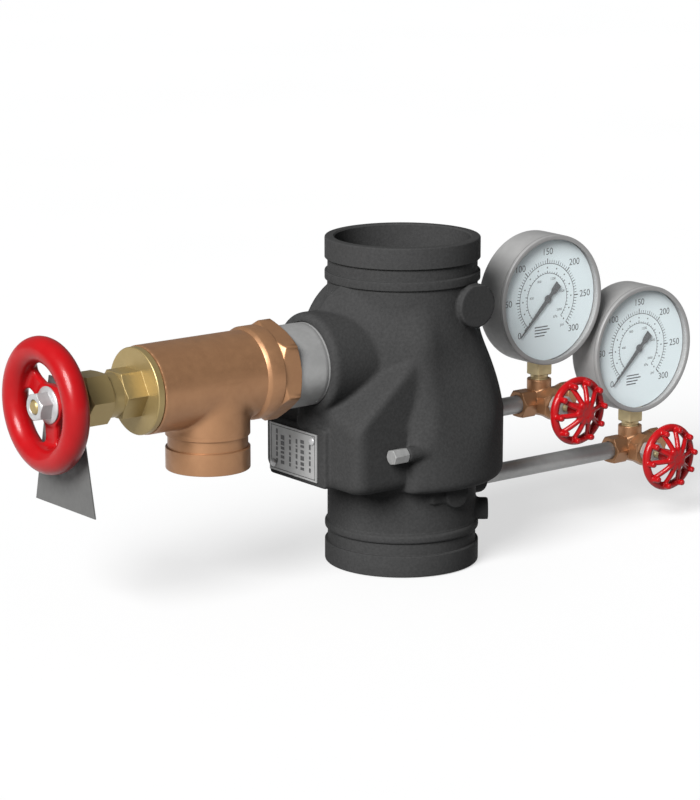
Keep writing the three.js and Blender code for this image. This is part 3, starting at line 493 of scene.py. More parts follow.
def barrel_field(along, u, w, r, low, high, k=2.0):
    """A cylinder, its axis along the first coordinate, between low and high."""
    return smax(np.sqrt(u * u + w * w) - r, smax(along - high, low - along, 0.5), k)


def body_field(x, y, z):
    """The casting between its two end rings: neck, chamber, drain-side block and column, then what is
    cast on them, then the hollow inside and the bores through the wall."""
    r = np.sqrt(x * x + y * y)
    ay = np.abs(y)
    neck = r - NECK_R
    chamber = smax((r - chamber_radius(z)) * 0.93, SEAT_MID - z, 8.0)
    left = -40.0 - 8.0 * np.clip((z - 111.0) / 8.0, 0, 1) ** 2
    chamber = smax(chamber, left - x, 4.0)
    flank = -0.68 * x + 0.73 * ay - 60.8 - 0.004 * np.clip(160.0 - z, 0, 60) ** 2
    side = 0.97 * ay + 0.24 * z
    chamber = smax(chamber, side - 95.0, 4.0)
    chamber = smax(chamber, flank, 5.0)
    lobe = smax(LOBE_END - x, ay - LOBE_HALF, 11.0)
    lobe = smax(lobe, LOBE_LOW - z, 10.0)
    lobe = smax(lobe, -0.642 * x + 0.187 * ay + 0.744 * z - 153.5, 5.0)
    lobe = smax(lobe, 0.894 * ay + 0.447 * z - 121.8, 5.0)
    lobe = smax(lobe, x + 12.0, 8.0)
    lobe = smax(lobe, z - LOBE_HIGH, 6.0)
    d = smin(neck, chamber, 7.0)
    lean = 0.0085 * np.clip(z - 166.0, 0, 60) ** 2
    column = smax(flank + lean, 0.174 * x + 0.985 * ay - 55.8 + lean, 8.0)
    column = smax(column, smax(z - 214.0, 112.0 - z, 2.0), 10.0)
    d = smin(d, smax(column, x - 14.0, 6.0), 4.0)
    boss = barrel_field(-x, y, z - DRAIN_Z, 37.0, -5.0, 90.0, 6.0)
    d = smin(d, smin(lobe, boss, 5.0), 1.8)
    back = barrel_field(y, x, z - 160.0, 50.0, 0.0, 60.0, 6.0)
    d = smin(d, back, 8.0)
    plate_pad = smax(smax(np.abs(y - 9.75) - 33.75, np.abs(z - 92.5) - 22.0, 3.0),
                     smax(-90.0 - x, x + 60.0, 1.0), 2.0)
    d = smin(d, plate_pad, 2.5)
    gauge_pad = smax(smax(ay - 23.0, np.abs(z - 93.0) - 22.0, 6.0), smax(x - 81.5, 40.0 - x, 1.0), 5.0)
    d = smin(d, gauge_pad, 5.0)
    inlet_port_z = TRIMS[1][2]
    inlet_port = barrel_field(x, y, z - inlet_port_z, 12.0, 30.0, 75.0)
    d = smin(d, inlet_port, 4.0)
    blank = barrel_field(-y, x - 22.8, z - 197.6, 16.2, 20.0, 59.5, 1.2)
    d = smin(d, blank, 1.5)
    turn = 0.66
    u = x * math.cos(turn) - y * math.sin(turn)
    w = x * math.sin(turn) + y * math.cos(turn)
    low_boss = barrel_field(u, w, z - 36.8, 9.3, 30.0, 64.3, 1.5)
    d = smin(d, low_boss, 3.0)
    lug = smax(np.sqrt((x - 3.3) ** 2 + np.minimum(z - 60.5, 0) ** 2) - 10.3, z - 80.0, 2.0)
    lug = smax(lug, smax(-61.8 - y, y + 30.0, 1.0), 1.2)
    d = smin(d, lug, 1.2)
    step = smax(np.abs(x + 7.5) - 10.0, np.abs(z - 62.0) - 8.0, 3.0)
    step = smax(step, smax(-57.3 - y, y + 30.0, 1.0), 2.0)
    d = smin(d, step, 1.2)
    plug_boss = barrel_field(-x, y - PLUG_Y, z - PLUG_Z, 5.6, 20.0, 47.2, 1.5)
    d = smin(d, plug_boss, 2.5)
    hollow = r - np.minimum(HOLLOW_R, chamber_radius(z) - 6.5)
    hollow = smax(hollow, smax(HOLLOW_LOW - z, -33.5 - x, 2.0), 3.0)
    hollow = smax(hollow, side - 89.5, 3.0)
    lobe_in = smax(smax(r - HOLLOW_R, ay - 46.0, 4.0), smax(HOLLOW_LOW - z, z - 113.0, 3.0), 3.0)
    inside = smin(r - BORE_R, smin(hollow, lobe_in, 3.0), 2.0)
    ledge = smax(smax(SEAT_LOW - z, z - SEAT_MID, 0.5), SEAT_BORE - r, 0.5)
    bore = smax(inside, -ledge, 0.5)
    seat_pocket = smax(r - 52.3, smax(SEAT_MID - z, z - SEAT_TOP, 0.3), 0.3)
    bore = smin(bore, seat_pocket, 0.3)
    through = smax(r - SEAT_BORE, z - SEAT_TOP, 1.0)
    d = smax(d, -smin(bore, through, 0.3), 0.8)
    passage = smin(barrel_field(-x, y, z - DRAIN_Z, 26.2, 10.0, 64.0, 0.5),
                   barrel_field(-x, y, z - DRAIN_Z, 30.45, 62.0, 99.0, 0.5), 0.3)
    d = smax(d, -passage, 1.0)
    ear_round = np.sqrt((x - HINGE_X) ** 2 + np.minimum(0, HINGE_Z - z) ** 2) - 7.5
    ears = smax(smax(np.abs(ay - 26.0) - 4.0, ear_round, 1.0), 72.0 - z, 1.0)
    d = smin(d, ears, 2.0)
    for _, _, port_z, start in TRIMS:
        d = smax(d, -barrel_field(x, y, z - port_z, 7.16, start - 0.3, 99.0, 0.3), 0.6)
    return smax(d, smax(CORE_LOW - z, z - CORE_HIGH, 0.5), 0.5)


def end_ring(top):
    """A grooved pipe end with its ridge, running into the body."""
    groove = GASKET_W + GROOVE_W
    ridge = groove + RIDGE_W
    rows = [(BORE_R + 1.0, 0)] + arc(PIPE_R - 1.2, 1.2, 1.2, -90, 0, 3)
    rows += [(PIPE_R, GASKET_W - 0.5), (PIPE_R - 0.5, GASKET_W), (GROOVE_R + 0.3, GASKET_W)]
    rows += [(GROOVE_R, GASKET_W + 0.3), (GROOVE_R, groove - 0.3), (GROOVE_R + 0.3, groove)]
    edge = 0.7 if top else 2.2
    rows += arc(PIPE_R - edge, groove + edge, edge, -90, 0, 4)
    rows += arc(PIPE_R - edge, ridge - edge, edge, 0, 75, 4)
    rows += [(NECK_R + 0.25, ridge + 0.6), (NECK_R, ridge + 1.6), (NECK_R - 0.6, ridge + 4)]
    rows += [(BORE_R + 0.6, ridge + 4), (BORE_R, ridge), (BORE_R, 1.0)]
    if top:
        rows = [(r, HEIGHT - z) for r, z in rows][::-1]
    return revolve(rows, "z", n=160)


core = shell(body_field, (-93, -79, CORE_LOW - 2), (85, 79, CORE_HIGH + 2), 1.15)
piece("riser_casting", [core, end_ring(False), end_ring(True)], BLACK, "riser", ["valve_body"],
      sharp=40)


def repaint(node, paint):
    """Gives a flat piece of the CAD frame, which keeps its shape, a material."""
    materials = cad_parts[node].data.materials
    materials.clear()
    materials.append(paint)


def plate_rows():
    """Rows of raised strokes that stand in for stamped lines on the name plate, in a thin border."""
    rng = np.random.default_rng(7)
    x = -91.15
    y0, y1, z0, z1, line = -13.6, 39.6, 75.8, 108.5, 0.5
    parts = [box(x - 0.12, x + 0.05, y0, y1, z1 - line, z1, 0.05),
             box(x - 0.12, x + 0.05, y0, y1, z0, z0 + line, 0.05),
             box(x - 0.12, x + 0.05, y0, y0 + line, z0, z1, 0.05),
             box(x - 0.12, x + 0.05, y1 - line, y1, z0, z1, 0.05)]
    for row in range(6):
        wide = row in (1, 4)
        y = -8.5 + row * 8.0
        width = 4.2 if wide else 2.0
        z = 80.5
        while z < 103.5:
            length = float(rng.uniform(1.6, 3.4)) if wide else float(rng.uniform(1.4, 4.4))
            parts.append(box(x - 0.1, x + 0.05, y, y + width, z, min(z + length, 106.5), 0.05))
            z += length + float(rng.uniform(0.9, 1.8))
    return parts


repaint("name_plate", PLATE)
piece("name_plate_marks", plate_rows(), PLATE_INK, "riser", flat=True)
head = [(0, 85.0), (1.5, 85.0), (1.5, 91.4), (3.0, 91.4), (2.9, 91.9), (2.4, 92.4), (1.4, 92.8),
        (0, 92.95)]
for i, (y, z) in enumerate([(-10.3, 104.6), (36.3, 79.5)]):
    piece(f"plate_rivet_head_{i + 1}", [revolve(head, "-x", (0, y, z), 32)], STEEL, "riser",
          [f"plate_rivet_{i + 1}"])
plug_at = (0, PLUG_Y, PLUG_Z)
plug_hex = nut(10, 47.5, 60.5, "-x", plug_at, 0.2)
plug_thread = rod(3.6, 39, 48.5, "-x", plug_at, 24)
piece("chamber_plug_hex", [plug_hex, plug_thread], PLUG_ZINC, "riser", ["chamber_plug"], bevel=0.2)

# ------------------------------------------------------------------ clapper and seat

seat_rows = [(43, 66.6), (43.3, 66.3), (51.7, 66.3), (52, 66.6), (52, 76), (48, 80), (44, 80), (43, 79)]
piece("seat", [revolve(seat_rows, "z", n=128)], BRONZE, "riser", ["seat_ring"], bevel=0.3)
HINGE = (HINGE_X, 0, HINGE_Z)
MIDDLE = (0, 0, 0)
disc_rows = [(4.3, 84.6), (48.9, 84.6), (49.5, 85.2), (49.5, 87.3), (46, 89.8), (44, 90.8), (30, 91.4),
             (17, 92.0), (13, 94.2), (11.5, 95), (4.3, 95)]
arms = []
for side in (-1, 1):
    y0, y1 = sorted((side * 11, side * 19))
    eye_rows = [(4.3, y0), (6.6, y0), (7.0, y0 + 0.4), (7.0, y1 - 0.4), (6.6, y1), (4.3, y1)]
    arms.append(box(2, 53, y0, y1, 86, 95, 1.2))
    arms.append(revolve(eye_rows, "y", HINGE, 48))
piece("clapper_plate", [revolve(disc_rows, "z", n=128), *arms], STEEL, "clapper", ["clapper"],
      bevel=0.3)
piece("clapper_face_seal", [tube(40, 48.5, 80.3, 84.3, "z", MIDDLE, 96, 0.6)], RUBBER, "clapper",
      ["clapper_seal"])
piece("seal_clamp", [tube(4.3, 39.7, 80.3, 84.3, "z", MIDDLE, 96, 0.6)], STEEL, "clapper",
      ["seal_retainer"])
piece("clamp_bolt", [nut(16, 74, 80, "z", MIDDLE), rod(4, 79, 95.5, "z", MIDDLE, 32)], STEEL, "clapper",
      ["retainer_bolt"])
piece("hinge_rod", [rod(4, -31.5, 31.5, "y", HINGE, 40, 0.8)], STEEL, "riser", ["hinge_pin"])
COIL_R, COIL_STEPS, STEPS_A_TURN = 5.6, 120, 20
coil = []
for i in range(COIL_STEPS + 1):
    a = i * TAU / STEPS_A_TURN
    coil.append((HINGE_X + COIL_R * math.cos(a), -8 + 16 * i / COIL_STEPS, HINGE_Z + COIL_R * math.sin(a)))
piece("torsion_coil", [sweep(coil, 0.95, 8)], STEEL, "clapper", ["clapper_spring"], sharp=50)

# ------------------------------------------------------------------ drain valve

AT = (0, 0, DRAIN_Z)


def thread_rows(r, depth, low, high, pitch):
    """Profile rows of a thread drawn as rings, r at its crests."""
    rows = []
    turns = int((high - low) / pitch)
    for i in range(turns):
        s = low + i * pitch
        rows += [(r, s), (r, s + pitch * 0.2), (r - depth, s + pitch * 0.5), (r - depth, s + pitch * 0.6)]
    return rows + [(r, low + turns * pitch)]


nipple_rows = [(26.5, 62.3), (29.9, 62.3)] + thread_rows(30.15, 0.35, 62.8, 92, 2.2)
nipple_rows += [(30.15, 93.5), (30.15, 113)] + thread_rows(30.15, 0.35, 114, 133, 2.2)
nipple_rows += [(26.5, 133.4), (26.2, 133), (26.2, 62.8)]
piece("drain_pipe", [revolve(nipple_rows, "-x", AT, 128)], ZINC, "riser", ["drain_nipple"])


def tee_field(x, y, z):
    """The drain valve's body with its outlet down; the turned ends are added to it."""
    body = barrel_field(-x, y, z - DRAIN_Z, 31.5, 141.0, 231.8, 0.8)
    spout = smax(np.sqrt((x - OUTLET_X) ** 2 + y * y) - 30.15, smax(z - DRAIN_Z, 123.0 - z, 0.5), 0.5)
    d = smin(body, spout, 3.0)
    cavity = smin(barrel_field(-x, y, z - DRAIN_Z, 27.5, 152.0, 240.0, 0.5),
                  smax(np.sqrt((x - OUTLET_X) ** 2 + y * y) - 24.0, z - DRAIN_Z, 0.5), 0.8)
    cavity = smin(cavity, barrel_field(-x, y, z - DRAIN_Z, 22.0, 120.0, 153.0, 0.5), 0.4)
    return smax(d, -cavity, 0.6)


tee = shell(tee_field, (-234, -34, 121), (-139, 34, 194), 0.85)
corner = 36.2
hex_rows = [(22, 134), (30.45, 134), (30.45, 116.6), (31.0, 116)]
hex_rows += slope(31.7, corner - 31.7, 116, 2.2, 63.4)
hex_rows += slope(corner, 32.6 - corner, 128.2, 2.8, 63.4)
hex_rows += [(31.7, 131), (33.2, 131.0), (33.6, 131.5), (33.6, 142.3), (33.2, 143.2), (31.5, 145.2),
             (22, 145.2)]
# the grooved drain outlet: its open end, then the two sides of the groove
OUTLET_END = 96.44
groove_low = OUTLET_END + GASKET_W
groove_high = groove_low + 8.7
spout_rows = [(24.5, OUTLET_END)] + arc(29.35, 97.24, 0.8, -90, 0, 3)
spout_rows += [(30.15, groove_low - 0.3), (29.85, groove_low), (28.58, groove_low), (28.58, groove_high),
               (29.85, groove_high), (30.15, groove_low + 9.0), (30.15, 124), (29.5, 124.5), (24.0, 124.5),
               (24.0, 97.0)]
piece("drain_body", [tee, revolve(hex_rows, "-x", AT, 144, 0.1 + math.pi / 2),
                     revolve(spout_rows, "z", (OUTLET_X, 0, 0), 128)],
      BRONZE, "riser", ["drain_valve_body"], sharp=38)

bonnet_rows = [(5.8, 222), (26.9, 222), (27.2, 222.4), (27.2, 232.1), (30.4, 232.1), (30.84, 232.6),
               (30.84, 236.9), (30.3, 237.5), (20, 237.5), (20, 237.5, 32), (20, 253.6, 32)]
bonnet_rows += slope(18.6, -2.7, 253.8, 0.9, 32, 4)
bonnet_rows += [(15.6, 254.7), (15.6, 264.2), (13.5, 264.2), (13.5, 276), (9, 276), (9, 261), (5.8, 261)]
piece("bonnet", [revolve(bonnet_rows, "-x", AT, 144)], BRASS, "riser", ["drain_bonnet"], bevel=0.25)
piece("stem_packing", [tube(5.8, 8.7, 261.3, 270, "-x", AT, 48)], RUBBER, "riser",
      ["drain_packing"])
piece("packing_gland", [tube(5.8, 8.7, 270.3, 278.7, "-x", AT, 48)], BRASS, "riser", ["drain_gland"])
nut_rows = [(13.8, 264.5), (17.0, 264.5)]
nut_rows += slope(17.1, 2.9, 264.5, 1.7, 34.5)
nut_rows += slope(20.0, -2.9, 282.3, 1.7, 34.5)
nut_rows += [(17.0, 284), (6.4, 284), (5.8, 283.4), (5.8, 279), (13.8, 279)]
piece("packing_cap_nut", [revolve(nut_rows, "-x", AT, 144)], BRASS, "riser",
      ["drain_packing_nut"], bevel=0.2)
holder_rows = [(0, 148.5), (3.8, 148.5), (3.8, 155.3), (25.0, 155.3), (25.4, 155.8), (25.4, 161),
               (24, 162.2), (13, 165), (11.5, 166.5), (11.5, 176), (9.3, 176), (9.3, 170.3), (7.3, 170.3),
               (7.3, 164.5), (0, 164.5)]
piece("disc_holder", [revolve(holder_rows, "-x", AT, 96)], BRASS, "drain_disc",
      ["drain_disc_holder"], bevel=0.2)
piece("seat_washer", [tube(4.1, 24.4, 152.4, 155.0, "-x", AT, 80, 0.5)], RUBBER, "drain_disc",
      ["drain_seat_washer"])
piece("washer_nut", [nut(16, 147, 152.1, "-x", AT, 0, 4.1)], BRASS, "drain_disc",
      ["drain_washer_nut"])
piece("swivel_nut", [tube(5.8, 9.0, 170.6, 176, "-x", AT, 48)], BRASS, "drain_disc",
      ["drain_swivel_nut"])
stem_rows = [(0, 164.8), (7, 164.8), (7, 170), (5.5, 170.3), (5.5, 180)]
stem_rows += thread_rows(5.5, 0.6, 181, 255, 3.2)
stem_rows += [(5.5, 256), (5.5, 298.6), (4.9, 299.6), (4.9, 318.3), (4.3, 319.2), (3.75, 319.6), (0, 319.6)]
piece("drain_spindle", [revolve(stem_rows, "-x", AT, 48)], BRASS, "drain_wheel", ["drain_stem"])


def wheel_field(x, y, z):
    """The drain handwheel: a round rim, a flat hub and three spokes that widen outwards."""
    u, w = y, z - DRAIN_Z
    r = np.sqrt(u * u + w * w)
    rim = np.sqrt((r - 38.5) ** 2 + (x + 309.5) ** 2) - 9.2
    hub = smax(r - 14.0, np.abs(x + 303.1) - 3.5, 2.0)
    d = hub
    for i in range(3):
        a = -math.pi / 2 + i * TAU / 3
        along = u * math.cos(a) + w * math.sin(a)
        side = -u * math.sin(a) + w * math.cos(a)
        bar = smax(smax(np.abs(side) - 7.0 - 0.10 * np.abs(along - 22.0), np.abs(x + 303.6) - 2.7, 2.6),
                   smax(4.0 - along, along - 36.0, 1.0), 1.0)
        d = smin(d, bar, 3.5)
    d = smin(d, rim, 4.5)
    return smax(d, 5.2 - r, 0.4)


wheel = shell(wheel_field, (-320.5, -49, DRAIN_Z - 49), (-298, 49, DRAIN_Z + 49), 0.75)
piece("drain_wheel_rim", [wheel], RED, "drain_wheel", ["drain_handwheel"], sharp=60)
flange_rows = [(5.2, 306.9), (12.8, 306.9), (13.0, 307.3), (13.0, 307.9), (12.4, 308.5), (9.8, 309.6)]
flange_rows += [(10.6, 309.7, 18), (10.6, 317.5, 18)]
flange_rows += slope(10.4, -1.5, 317.8, 1.1, 18, 4)
flange_rows += [(5.6, 318.9), (5.2, 318.4)]
piece("wheel_flange_nut", [revolve(flange_rows, "-x", AT, 96, 0.25)], STEEL, "drain_wheel",
      ["drain_wheel_nut"], bevel=0.2)
repaint("drain_tag", TAG)

# ------------------------------------------------------------------ gauge trims


def small_wheel_field(x, y, z):
    """A gauge valve's handwheel: a thin rim on ten curved spokes, each with a grip at its end."""
    t = -y
    r = np.sqrt(x * x + z * z)
    rim = np.sqrt((r - 23.0) ** 2 + (t - 44.2) ** 2) - 3.2
    hub = smax(r - 5.8, smax(38.3 - t, t - 54.0, 0.6), 0.8)
    cap = smax(r - 8.6, smax(51.6 - t, t - 54.9, 0.8), 1.4)
    d = smin(smin(hub, cap, 2.0), rim, 0.5)
    for i in range(10):
        a = 0.08 + i * TAU / 10
        along = x * math.cos(a) + z * math.sin(a)
        side = -x * math.sin(a) + z * math.cos(a)
        centre = 53.0 - 8.2 * np.clip((along - 6.0) / 17.0, 0, 1.1) ** 1.5
        bar = np.sqrt(side * side + ((t - centre) * 0.9) ** 2) - 2.0
        bar = smax(bar, smax(4.0 - along, along - 23.5, 0.6), 0.6)
        d = smin(d, bar, 1.0)
        knob = np.sqrt((along - 23.2 + 0.14 * (t - 44.0)) ** 2 + side * side) - 2.3
        knob = smax(knob, smax(44.0 - t, t - 53.0, 0.6), 1.6)
        d = smin(d, knob, 0.9)
    return smax(d, -smax(r - 2.7, t - 50.0, 0.2), 0.3)


small_wheel = shell(small_wheel_field, (-28, -56, -28), (28, -37.5, 28), 0.5)


def cock_field(x, y, z):
    """A gauge valve's body: a run along X, a port up to the gauge, and a boss for the bonnet."""
    run = barrel_field(x, y, z, 9.0, -9.0, 22.5, 0.6)
    port = smax(np.sqrt(x * x + y * y) - 9.35, smax(-z, z - 17.8, 0.5), 0.8)
    boss = barrel_field(-y, x, z, 10.8, 0.0, 9.8, 1.0)
    ball = np.sqrt(x * x + y * y + z * z) - 10.4
    d = smin(smin(smin(run, port, 2.2), boss, 1.6), ball, 2.0)
    bore = smax(np.sqrt(x * x + y * y) - 7.0, 8.0 - z, 0.3)
    return smax(d, -smin(bore, barrel_field(-y, x, z, 6.3, 0.0, 12.0, 0.3), 0.3), 0.5)


cock = shell(cock_field, (-11, -12, -13), (25, 12, 20), 0.5)


def at_trim(part, x, z):
    """Moves a part made about the origin to a trim's pipe."""
    return part[0] + np.array([x, 0.0, z]), part[1]


def numerals(text, size):
    """A word as flat polygons, centred, in millimetres, and facing +Z."""
    curve = bpy.data.curves.new("numeral", "FONT")
    curve.body = text
    curve.size = size
    curve.align_x = "CENTER"
    curve.align_y = "CENTER"
    curve.extrude = 0.04
    obj = bpy.data.objects.new("numeral", curve)
    bpy.context.scene.collection.objects.link(obj)
    bpy.context.view_layer.update()
    mesh = obj.evaluated_get(bpy.context.evaluated_depsgraph_get()).to_mesh()
    v = np.array([p.co[:] for p in mesh.vertices], float).reshape(-1, 3)
    f = [list(p.vertices) for p in mesh.polygons]
    bpy.data.objects.remove(obj)
    bpy.data.curves.remove(curve)
    return v, f


def dial_place(part, u, v, x, z, lift):
    """Puts a flat part drawn in (right, up) on a dial centred at x, z."""
    p = part[0]
    return np.stack([x + u + p[:, 0], lift - p[:, 2], z + v + p[:, 1]], 1), part[1]


def band(r0, r1, start, end, steps=90):
    """A flat ring sector; angles in degrees anticlockwise from the right."""
    verts, faces = [], []
    for i in range(steps + 1):
        a = math.radians(start + (end - start) * i / steps)
        for r in (r0, r1):
            verts.append((r * math.cos(a), r * math.sin(a), 0.04))
        if i:
            k = 2 * i
            faces.append([k - 2, k - 1, k + 1, k])
    return np.array(verts), faces


def dial_marks(x, z):
    """The two scales of a dial, their numbers, and four plain bars that stand in for small print."""
    lift = -7.8
    dial_end = DIAL_ZERO - DIAL_SWEEP
    flat = [band(27.0, 27.5, DIAL_ZERO, dial_end), band(19.6, 20.1, DIAL_ZERO, dial_end)]
    for i in range(61):
        a = DIAL_ZERO - 4.5 * i
        width, length = (0.8, 3.9) if i % 10 == 0 else (0.55, 3.2) if i % 5 == 0 else (0.45, 2.6)
        flat.append(band(27.4, 27.4 + length, a - width, a + width, 1))
        if i % 5 == 0:
            flat.append(band(23.6, 24.7, a - 1.3, a + 1.3, 2))
    for i in range(41):
        a = DIAL_ZERO - DIAL_SWEEP * i / 40
        width, length = (0.9, 1.9) if i % 4 == 0 else (0.55, 1.1)
        flat.append(band(20.0, 20.0 + length, a - width, a + width, 1))
    parts = [dial_place(p, 0, 0, x, z, lift) for p in flat]
    for i, word in enumerate(["0", "50", "100", "150", "200", "250", "300"]):
        a = math.radians(DIAL_ZERO - 45 * i)
        parts.append(dial_place(numerals(word, 7.2), 38.4 * math.cos(a), 36.3 * math.sin(a), x, z, lift))
    # each step of 400 kPa is 58.02 psi, which is 0.1934 of the 300 psi scale
    for i, word in enumerate(["0", "400", "800", "1200", "1600", "2000"]):
        a = math.radians(DIAL_ZERO - DIAL_SWEEP * 0.1934 * i)
        parts.append(dial_place(numerals(word, 2.7), 15.6 * math.cos(a), 16.2 * math.sin(a), x, z, lift))
    parts.append(dial_place(numerals("psi", 3.4), 15.5, -21.5, x, z, lift))
    parts.append(dial_place(numerals("kPa", 3.0), 8.5, -14.5, x, z, lift))
    for row, reach in enumerate((9.0, 11.0, 8.0, 6.0)):
        corners = ((-12, -0.45), (reach - 8, -0.45), (reach - 8, 0.45), (-12, 0.45))
        bar = np.array([(u, w, 0.04) for u, w in corners])
        parts.append(dial_place((bar, [[0, 1, 2, 3]]), 0, -21.0 - 2.3 * row, x, z, lift))
    return parts


def pointer_part(x, z):
    """The needle of a dial, at zero."""
    a = math.radians(DIAL_ZERO)
    outline = [(38, 0.35), (3.4, 1.75), (-5.5, 1.5), (-8.0, 2.8), (-15, 3.2), (-15, -3.2), (-8.0, -2.8),
               (-5.5, -1.5), (3.4, -1.75), (38, -0.35)]
    n = len(outline)
    verts = []
    for y in (-8.9, -9.4):
        for u, w in outline:
            verts.append((x + u * math.cos(a) - w * math.sin(a), y, z + u * math.sin(a) + w * math.cos(a)))
    faces = [list(range(n)), list(range(2 * n - 1, n - 1, -1))]
    faces += [[i, (i + 1) % n, n + (i + 1) % n, n + i] for i in range(n)]
    return np.array(verts), faces


for prefix, gx, gz, start in TRIMS:
    at = (gx, 0, gz)
    wheel_body, disc_body, hand_body = f"{prefix}_valve_wheel", f"{prefix}_valve_disc", f"{prefix}_pointer"
    pipe_end = gx - 10.0
    rows = [(4.6, start), (6.5, start)] + thread_rows(6.86, 0.25, start + 0.4, start + 12, 1.4)
    rows += [(6.86, start + 13), (6.86, pipe_end - 10)]
    rows += thread_rows(6.86, 0.25, pipe_end - 9, pipe_end - 1, 1.4)
    rows += [(6.5, pipe_end), (4.6, pipe_end)]
    piece(f"{prefix}_trim_pipe", [revolve(rows, "x", (0, 0, gz), 64)], ZINC, "riser",
          [f"{prefix}_gauge_pipe"])
    left = nut(19.5, -22, -8, "x", at, 0.0, 7.2, n=96)
    right = nut(19.5, 21.3, 30, "x", at, math.pi / 6, 5.1, n=96)
    piece(f"{prefix}_trim_valve_body", [at_trim(cock, gx, gz), left, right], BRONZE, "riser",
          [f"{prefix}_gauge_valve_body"], sharp=45)
    piece(f"{prefix}_trim_test_plug", [nut(12, 30.3, 35, "x", at, 0.0), rod(4.8, 24.3, 31, "x", at)], STEEL,
          "riser", [f"{prefix}_test_plug"], bevel=0.2)
    bonnet = nut(22, 10.1, 20, "-y", at, 0.0, 3.3)
    collar = tube(3.3, 5.7, 19, 26, "-y", at)
    seat_plug = tube(3.3, 6.2, 6, 11, "-y", at)
    piece(f"{prefix}_trim_valve_bonnet", [bonnet, collar, seat_plug], BRONZE, "riser",
          [f"{prefix}_gauge_valve_bonnet"], bevel=0.2)
    rows = [(6.0, 20.3), (7.3, 20.3)] + slope(7.35, 1.35, 20.3, 0.8, 15, 4)
    rows += slope(8.7, -1.35, 30.2, 0.8, 15, 4)
    rows += [(7.3, 31), (3.5, 31), (3.3, 30.8), (3.3, 28), (6.0, 28)]
    piece(f"{prefix}_trim_valve_nut", [revolve(rows, "-y", at, 96, math.pi / 6)], STEEL, "riser",
          [f"{prefix}_gauge_valve_nut"], bevel=0.15)
    piece(f"{prefix}_trim_valve_disc", [tube(2.6, 5.0, -2.4, 1.8, "-y", at, 32)], BRASS_SMALL, disc_body,
          [f"{prefix}_gauge_valve_disc"])
    rows = [(0, -2), (2.3, -2), (2.3, 2.1), (3, 2.2)] + thread_rows(3, 0.3, 3, 18, 1.5)
    rows += [(3, 18.5), (3, 37.6), (2.4, 37.8), (2.4, 49.4), (0, 49.7)]
    piece(f"{prefix}_trim_valve_stem", [revolve(rows, "-y", at, 32)], BRASS_SMALL, wheel_body,
          [f"{prefix}_gauge_valve_stem"])
    piece(f"{prefix}_trim_handwheel", [at_trim(small_wheel, gx, gz)], RED, wheel_body,
          [f"{prefix}_gauge_valve_handwheel"], sharp=60)

    cz = gz + RISE
    centre = (gx, 0, cz)
    socket = box(gx - 7, gx + 7, -7, 7, gz + 20.8, gz + 48, 0.8)
    rows = [(2, 7), (6.6, 7)] + thread_rows(6.8, 0.3, 7.5, 20, 1.4) + [(6.8, 21.5), (2, 21.5)]
    thread = revolve(rows, "z", at, 48)
    piece(f"{prefix}_dial_socket", [outward(socket), thread], BRASS_SMALL, "riser",
          [f"{prefix}_gauge_socket"])
    case = [(0, -15.5), (46.0, -15.5)] + arc(46.5, -12.0, 3.5, -90, 0, 6)
    case += [(50, -2), (49.95, 8), (49.9, 11.2), (48.4, 11.2), (48.4, -13.0), (47.8, -13.8), (0, -14.0)]
    piece(f"{prefix}_dial_case", [revolve(case, "-y", centre, 160)], GREY, "riser",
          [f"{prefix}_gauge_case"], sharp=30)
    bezel = [(46.2, 13.4), (46.4, 14.0), (46.9, 14.2)] + arc(49.1, 13.4, 0.8, 90, 0, 4)
    bezel += [(49.9, 11.7), (48.4, 11.7), (48.4, 12.9), (46.3, 12.9)]
    piece(f"{prefix}_dial_bezel", [revolve(bezel[::-1], "-y", centre, 160)], GREY, "riser",
          [f"{prefix}_gauge_bezel"], sharp=30)
    window = [(0, 11.1), (47.3, 11.1), (47.3, 12.6), (0, 12.6)]
    piece(f"{prefix}_dial_window", [revolve(window, "-y", centre, 128)], GLASS, "riser",
          [f"{prefix}_gauge_window"])
    piece(f"{prefix}_dial_face", [tube(1.8, 47.4, 7.0, 7.8, "-y", centre, 128, 0.1)], DIAL, "riser",
          [f"{prefix}_gauge_dial"])
    piece(f"{prefix}_dial_marks", dial_marks(gx, cz), INK, "riser", flat=True)
    hub = [(0, 8.6), (3.2, 8.6), (3.2, 9.3), (2.2, 9.8), (0, 9.85)]
    piece(f"{prefix}_dial_pointer", [outward(pointer_part(gx, cz)), revolve(hub, "-y", centre, 40),
                                     rod(1.2, 2, 9.4, "-y", centre, 20)],
          INK, hand_body, [f"{prefix}_gauge_pointer"])
    bend = []
    for degrees in range(-70, 181, 5):
        a = math.radians(degrees)
        bend.append((gx + 31 * math.cos(a), 1.5, cz + 31 * math.sin(a)))
    piece(f"{prefix}_dial_tube", [sweep(bend, 3.4, 14, 0.4)], BRASS_SMALL, "riser",
          [f"{prefix}_bourdon_tube"], sharp=50)

# ------------------------------------------------------------------ floor, light and camera

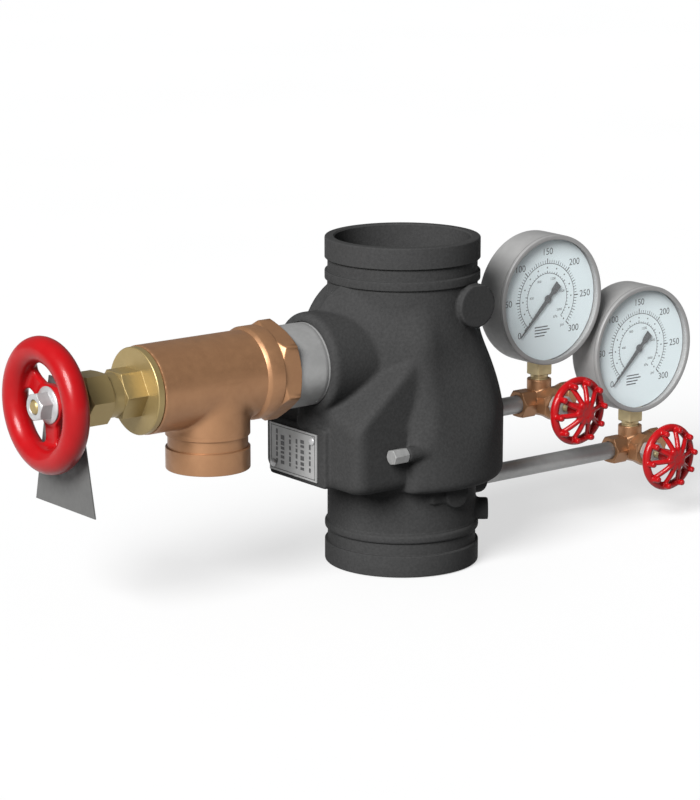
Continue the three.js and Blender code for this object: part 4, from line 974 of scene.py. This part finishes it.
floor_mesh = bpy.data.meshes.new("floor")
floor_mesh.from_pydata([(-30, -30, 0), (30, -30, 0), (30, 60, 0), (-30, 60, 0)], [], [(0, 1, 2, 3)])
floor = bpy.data.objects.new("floor", floor_mesh)
# half a millimetre under the inlet face
floor.location.z = -0.0005
bpy.context.scene.collection.objects.link(floor)
FLOOR = material("floor_pale", (0.30, 0.30, 0.30), 0.0, 0.85, (0.295, 0.295, 0.295), 2,
                 ((40, 0.02, 0.5),), specular=0.1)
floor_shader = FLOOR.node_tree.nodes["Principled BSDF"]
floor_shader.inputs["Emission Color"].default_value = (1, 1, 1, 1)
floor_shader.inputs["Emission Strength"].default_value = 0.60
floor_mesh.materials.append(FLOOR)
# the camera sees the floor pale, but no light comes back up from it onto the part
floor.visible_diffuse = False

world = bpy.data.worlds.new("studio")
world.use_nodes = True
world.node_tree.nodes["Background"].inputs["Color"].default_value = (0.97, 0.985, 1.0, 1)
world.node_tree.nodes["Background"].inputs["Strength"].default_value = 0.23
bpy.context.scene.world = world
bpy.context.scene.view_settings.view_transform = "Standard"


def sun(name, towards, strength, angle):
    """A wide soft light from one direction, given as the way from the object towards the light."""
    light = bpy.data.lights.new(name, "SUN")
    light.energy = strength
    light.angle = math.radians(angle)
    obj = bpy.data.objects.new(name, light)
    obj.rotation_mode = "QUATERNION"
    obj.rotation_quaternion = (-Vector(towards)).to_track_quat("-Z", "Y")
    bpy.context.scene.collection.objects.link(obj)


sun("key", (-0.760, -0.355, 0.545), 6.5, 30)

camera = bpy.data.cameras.new("camera")
camera.lens = 140.0
camera.sensor_width = 36.0
camera_obj = bpy.data.objects.new("camera", camera)
bpy.context.scene.collection.objects.link(camera_obj)
forward = Vector((0.5970, 0.7707, -0.2227)).normalized()
right = forward.cross(Vector((0, 0, 1))).normalized()
up = right.cross(forward)
turned = Matrix((right, up, -forward)).transposed().to_4x4()
camera_obj.matrix_world = Matrix.Translation((-1.4038, -1.7495, 0.6327)) @ turned
bpy.context.scene.camera = camera_obj
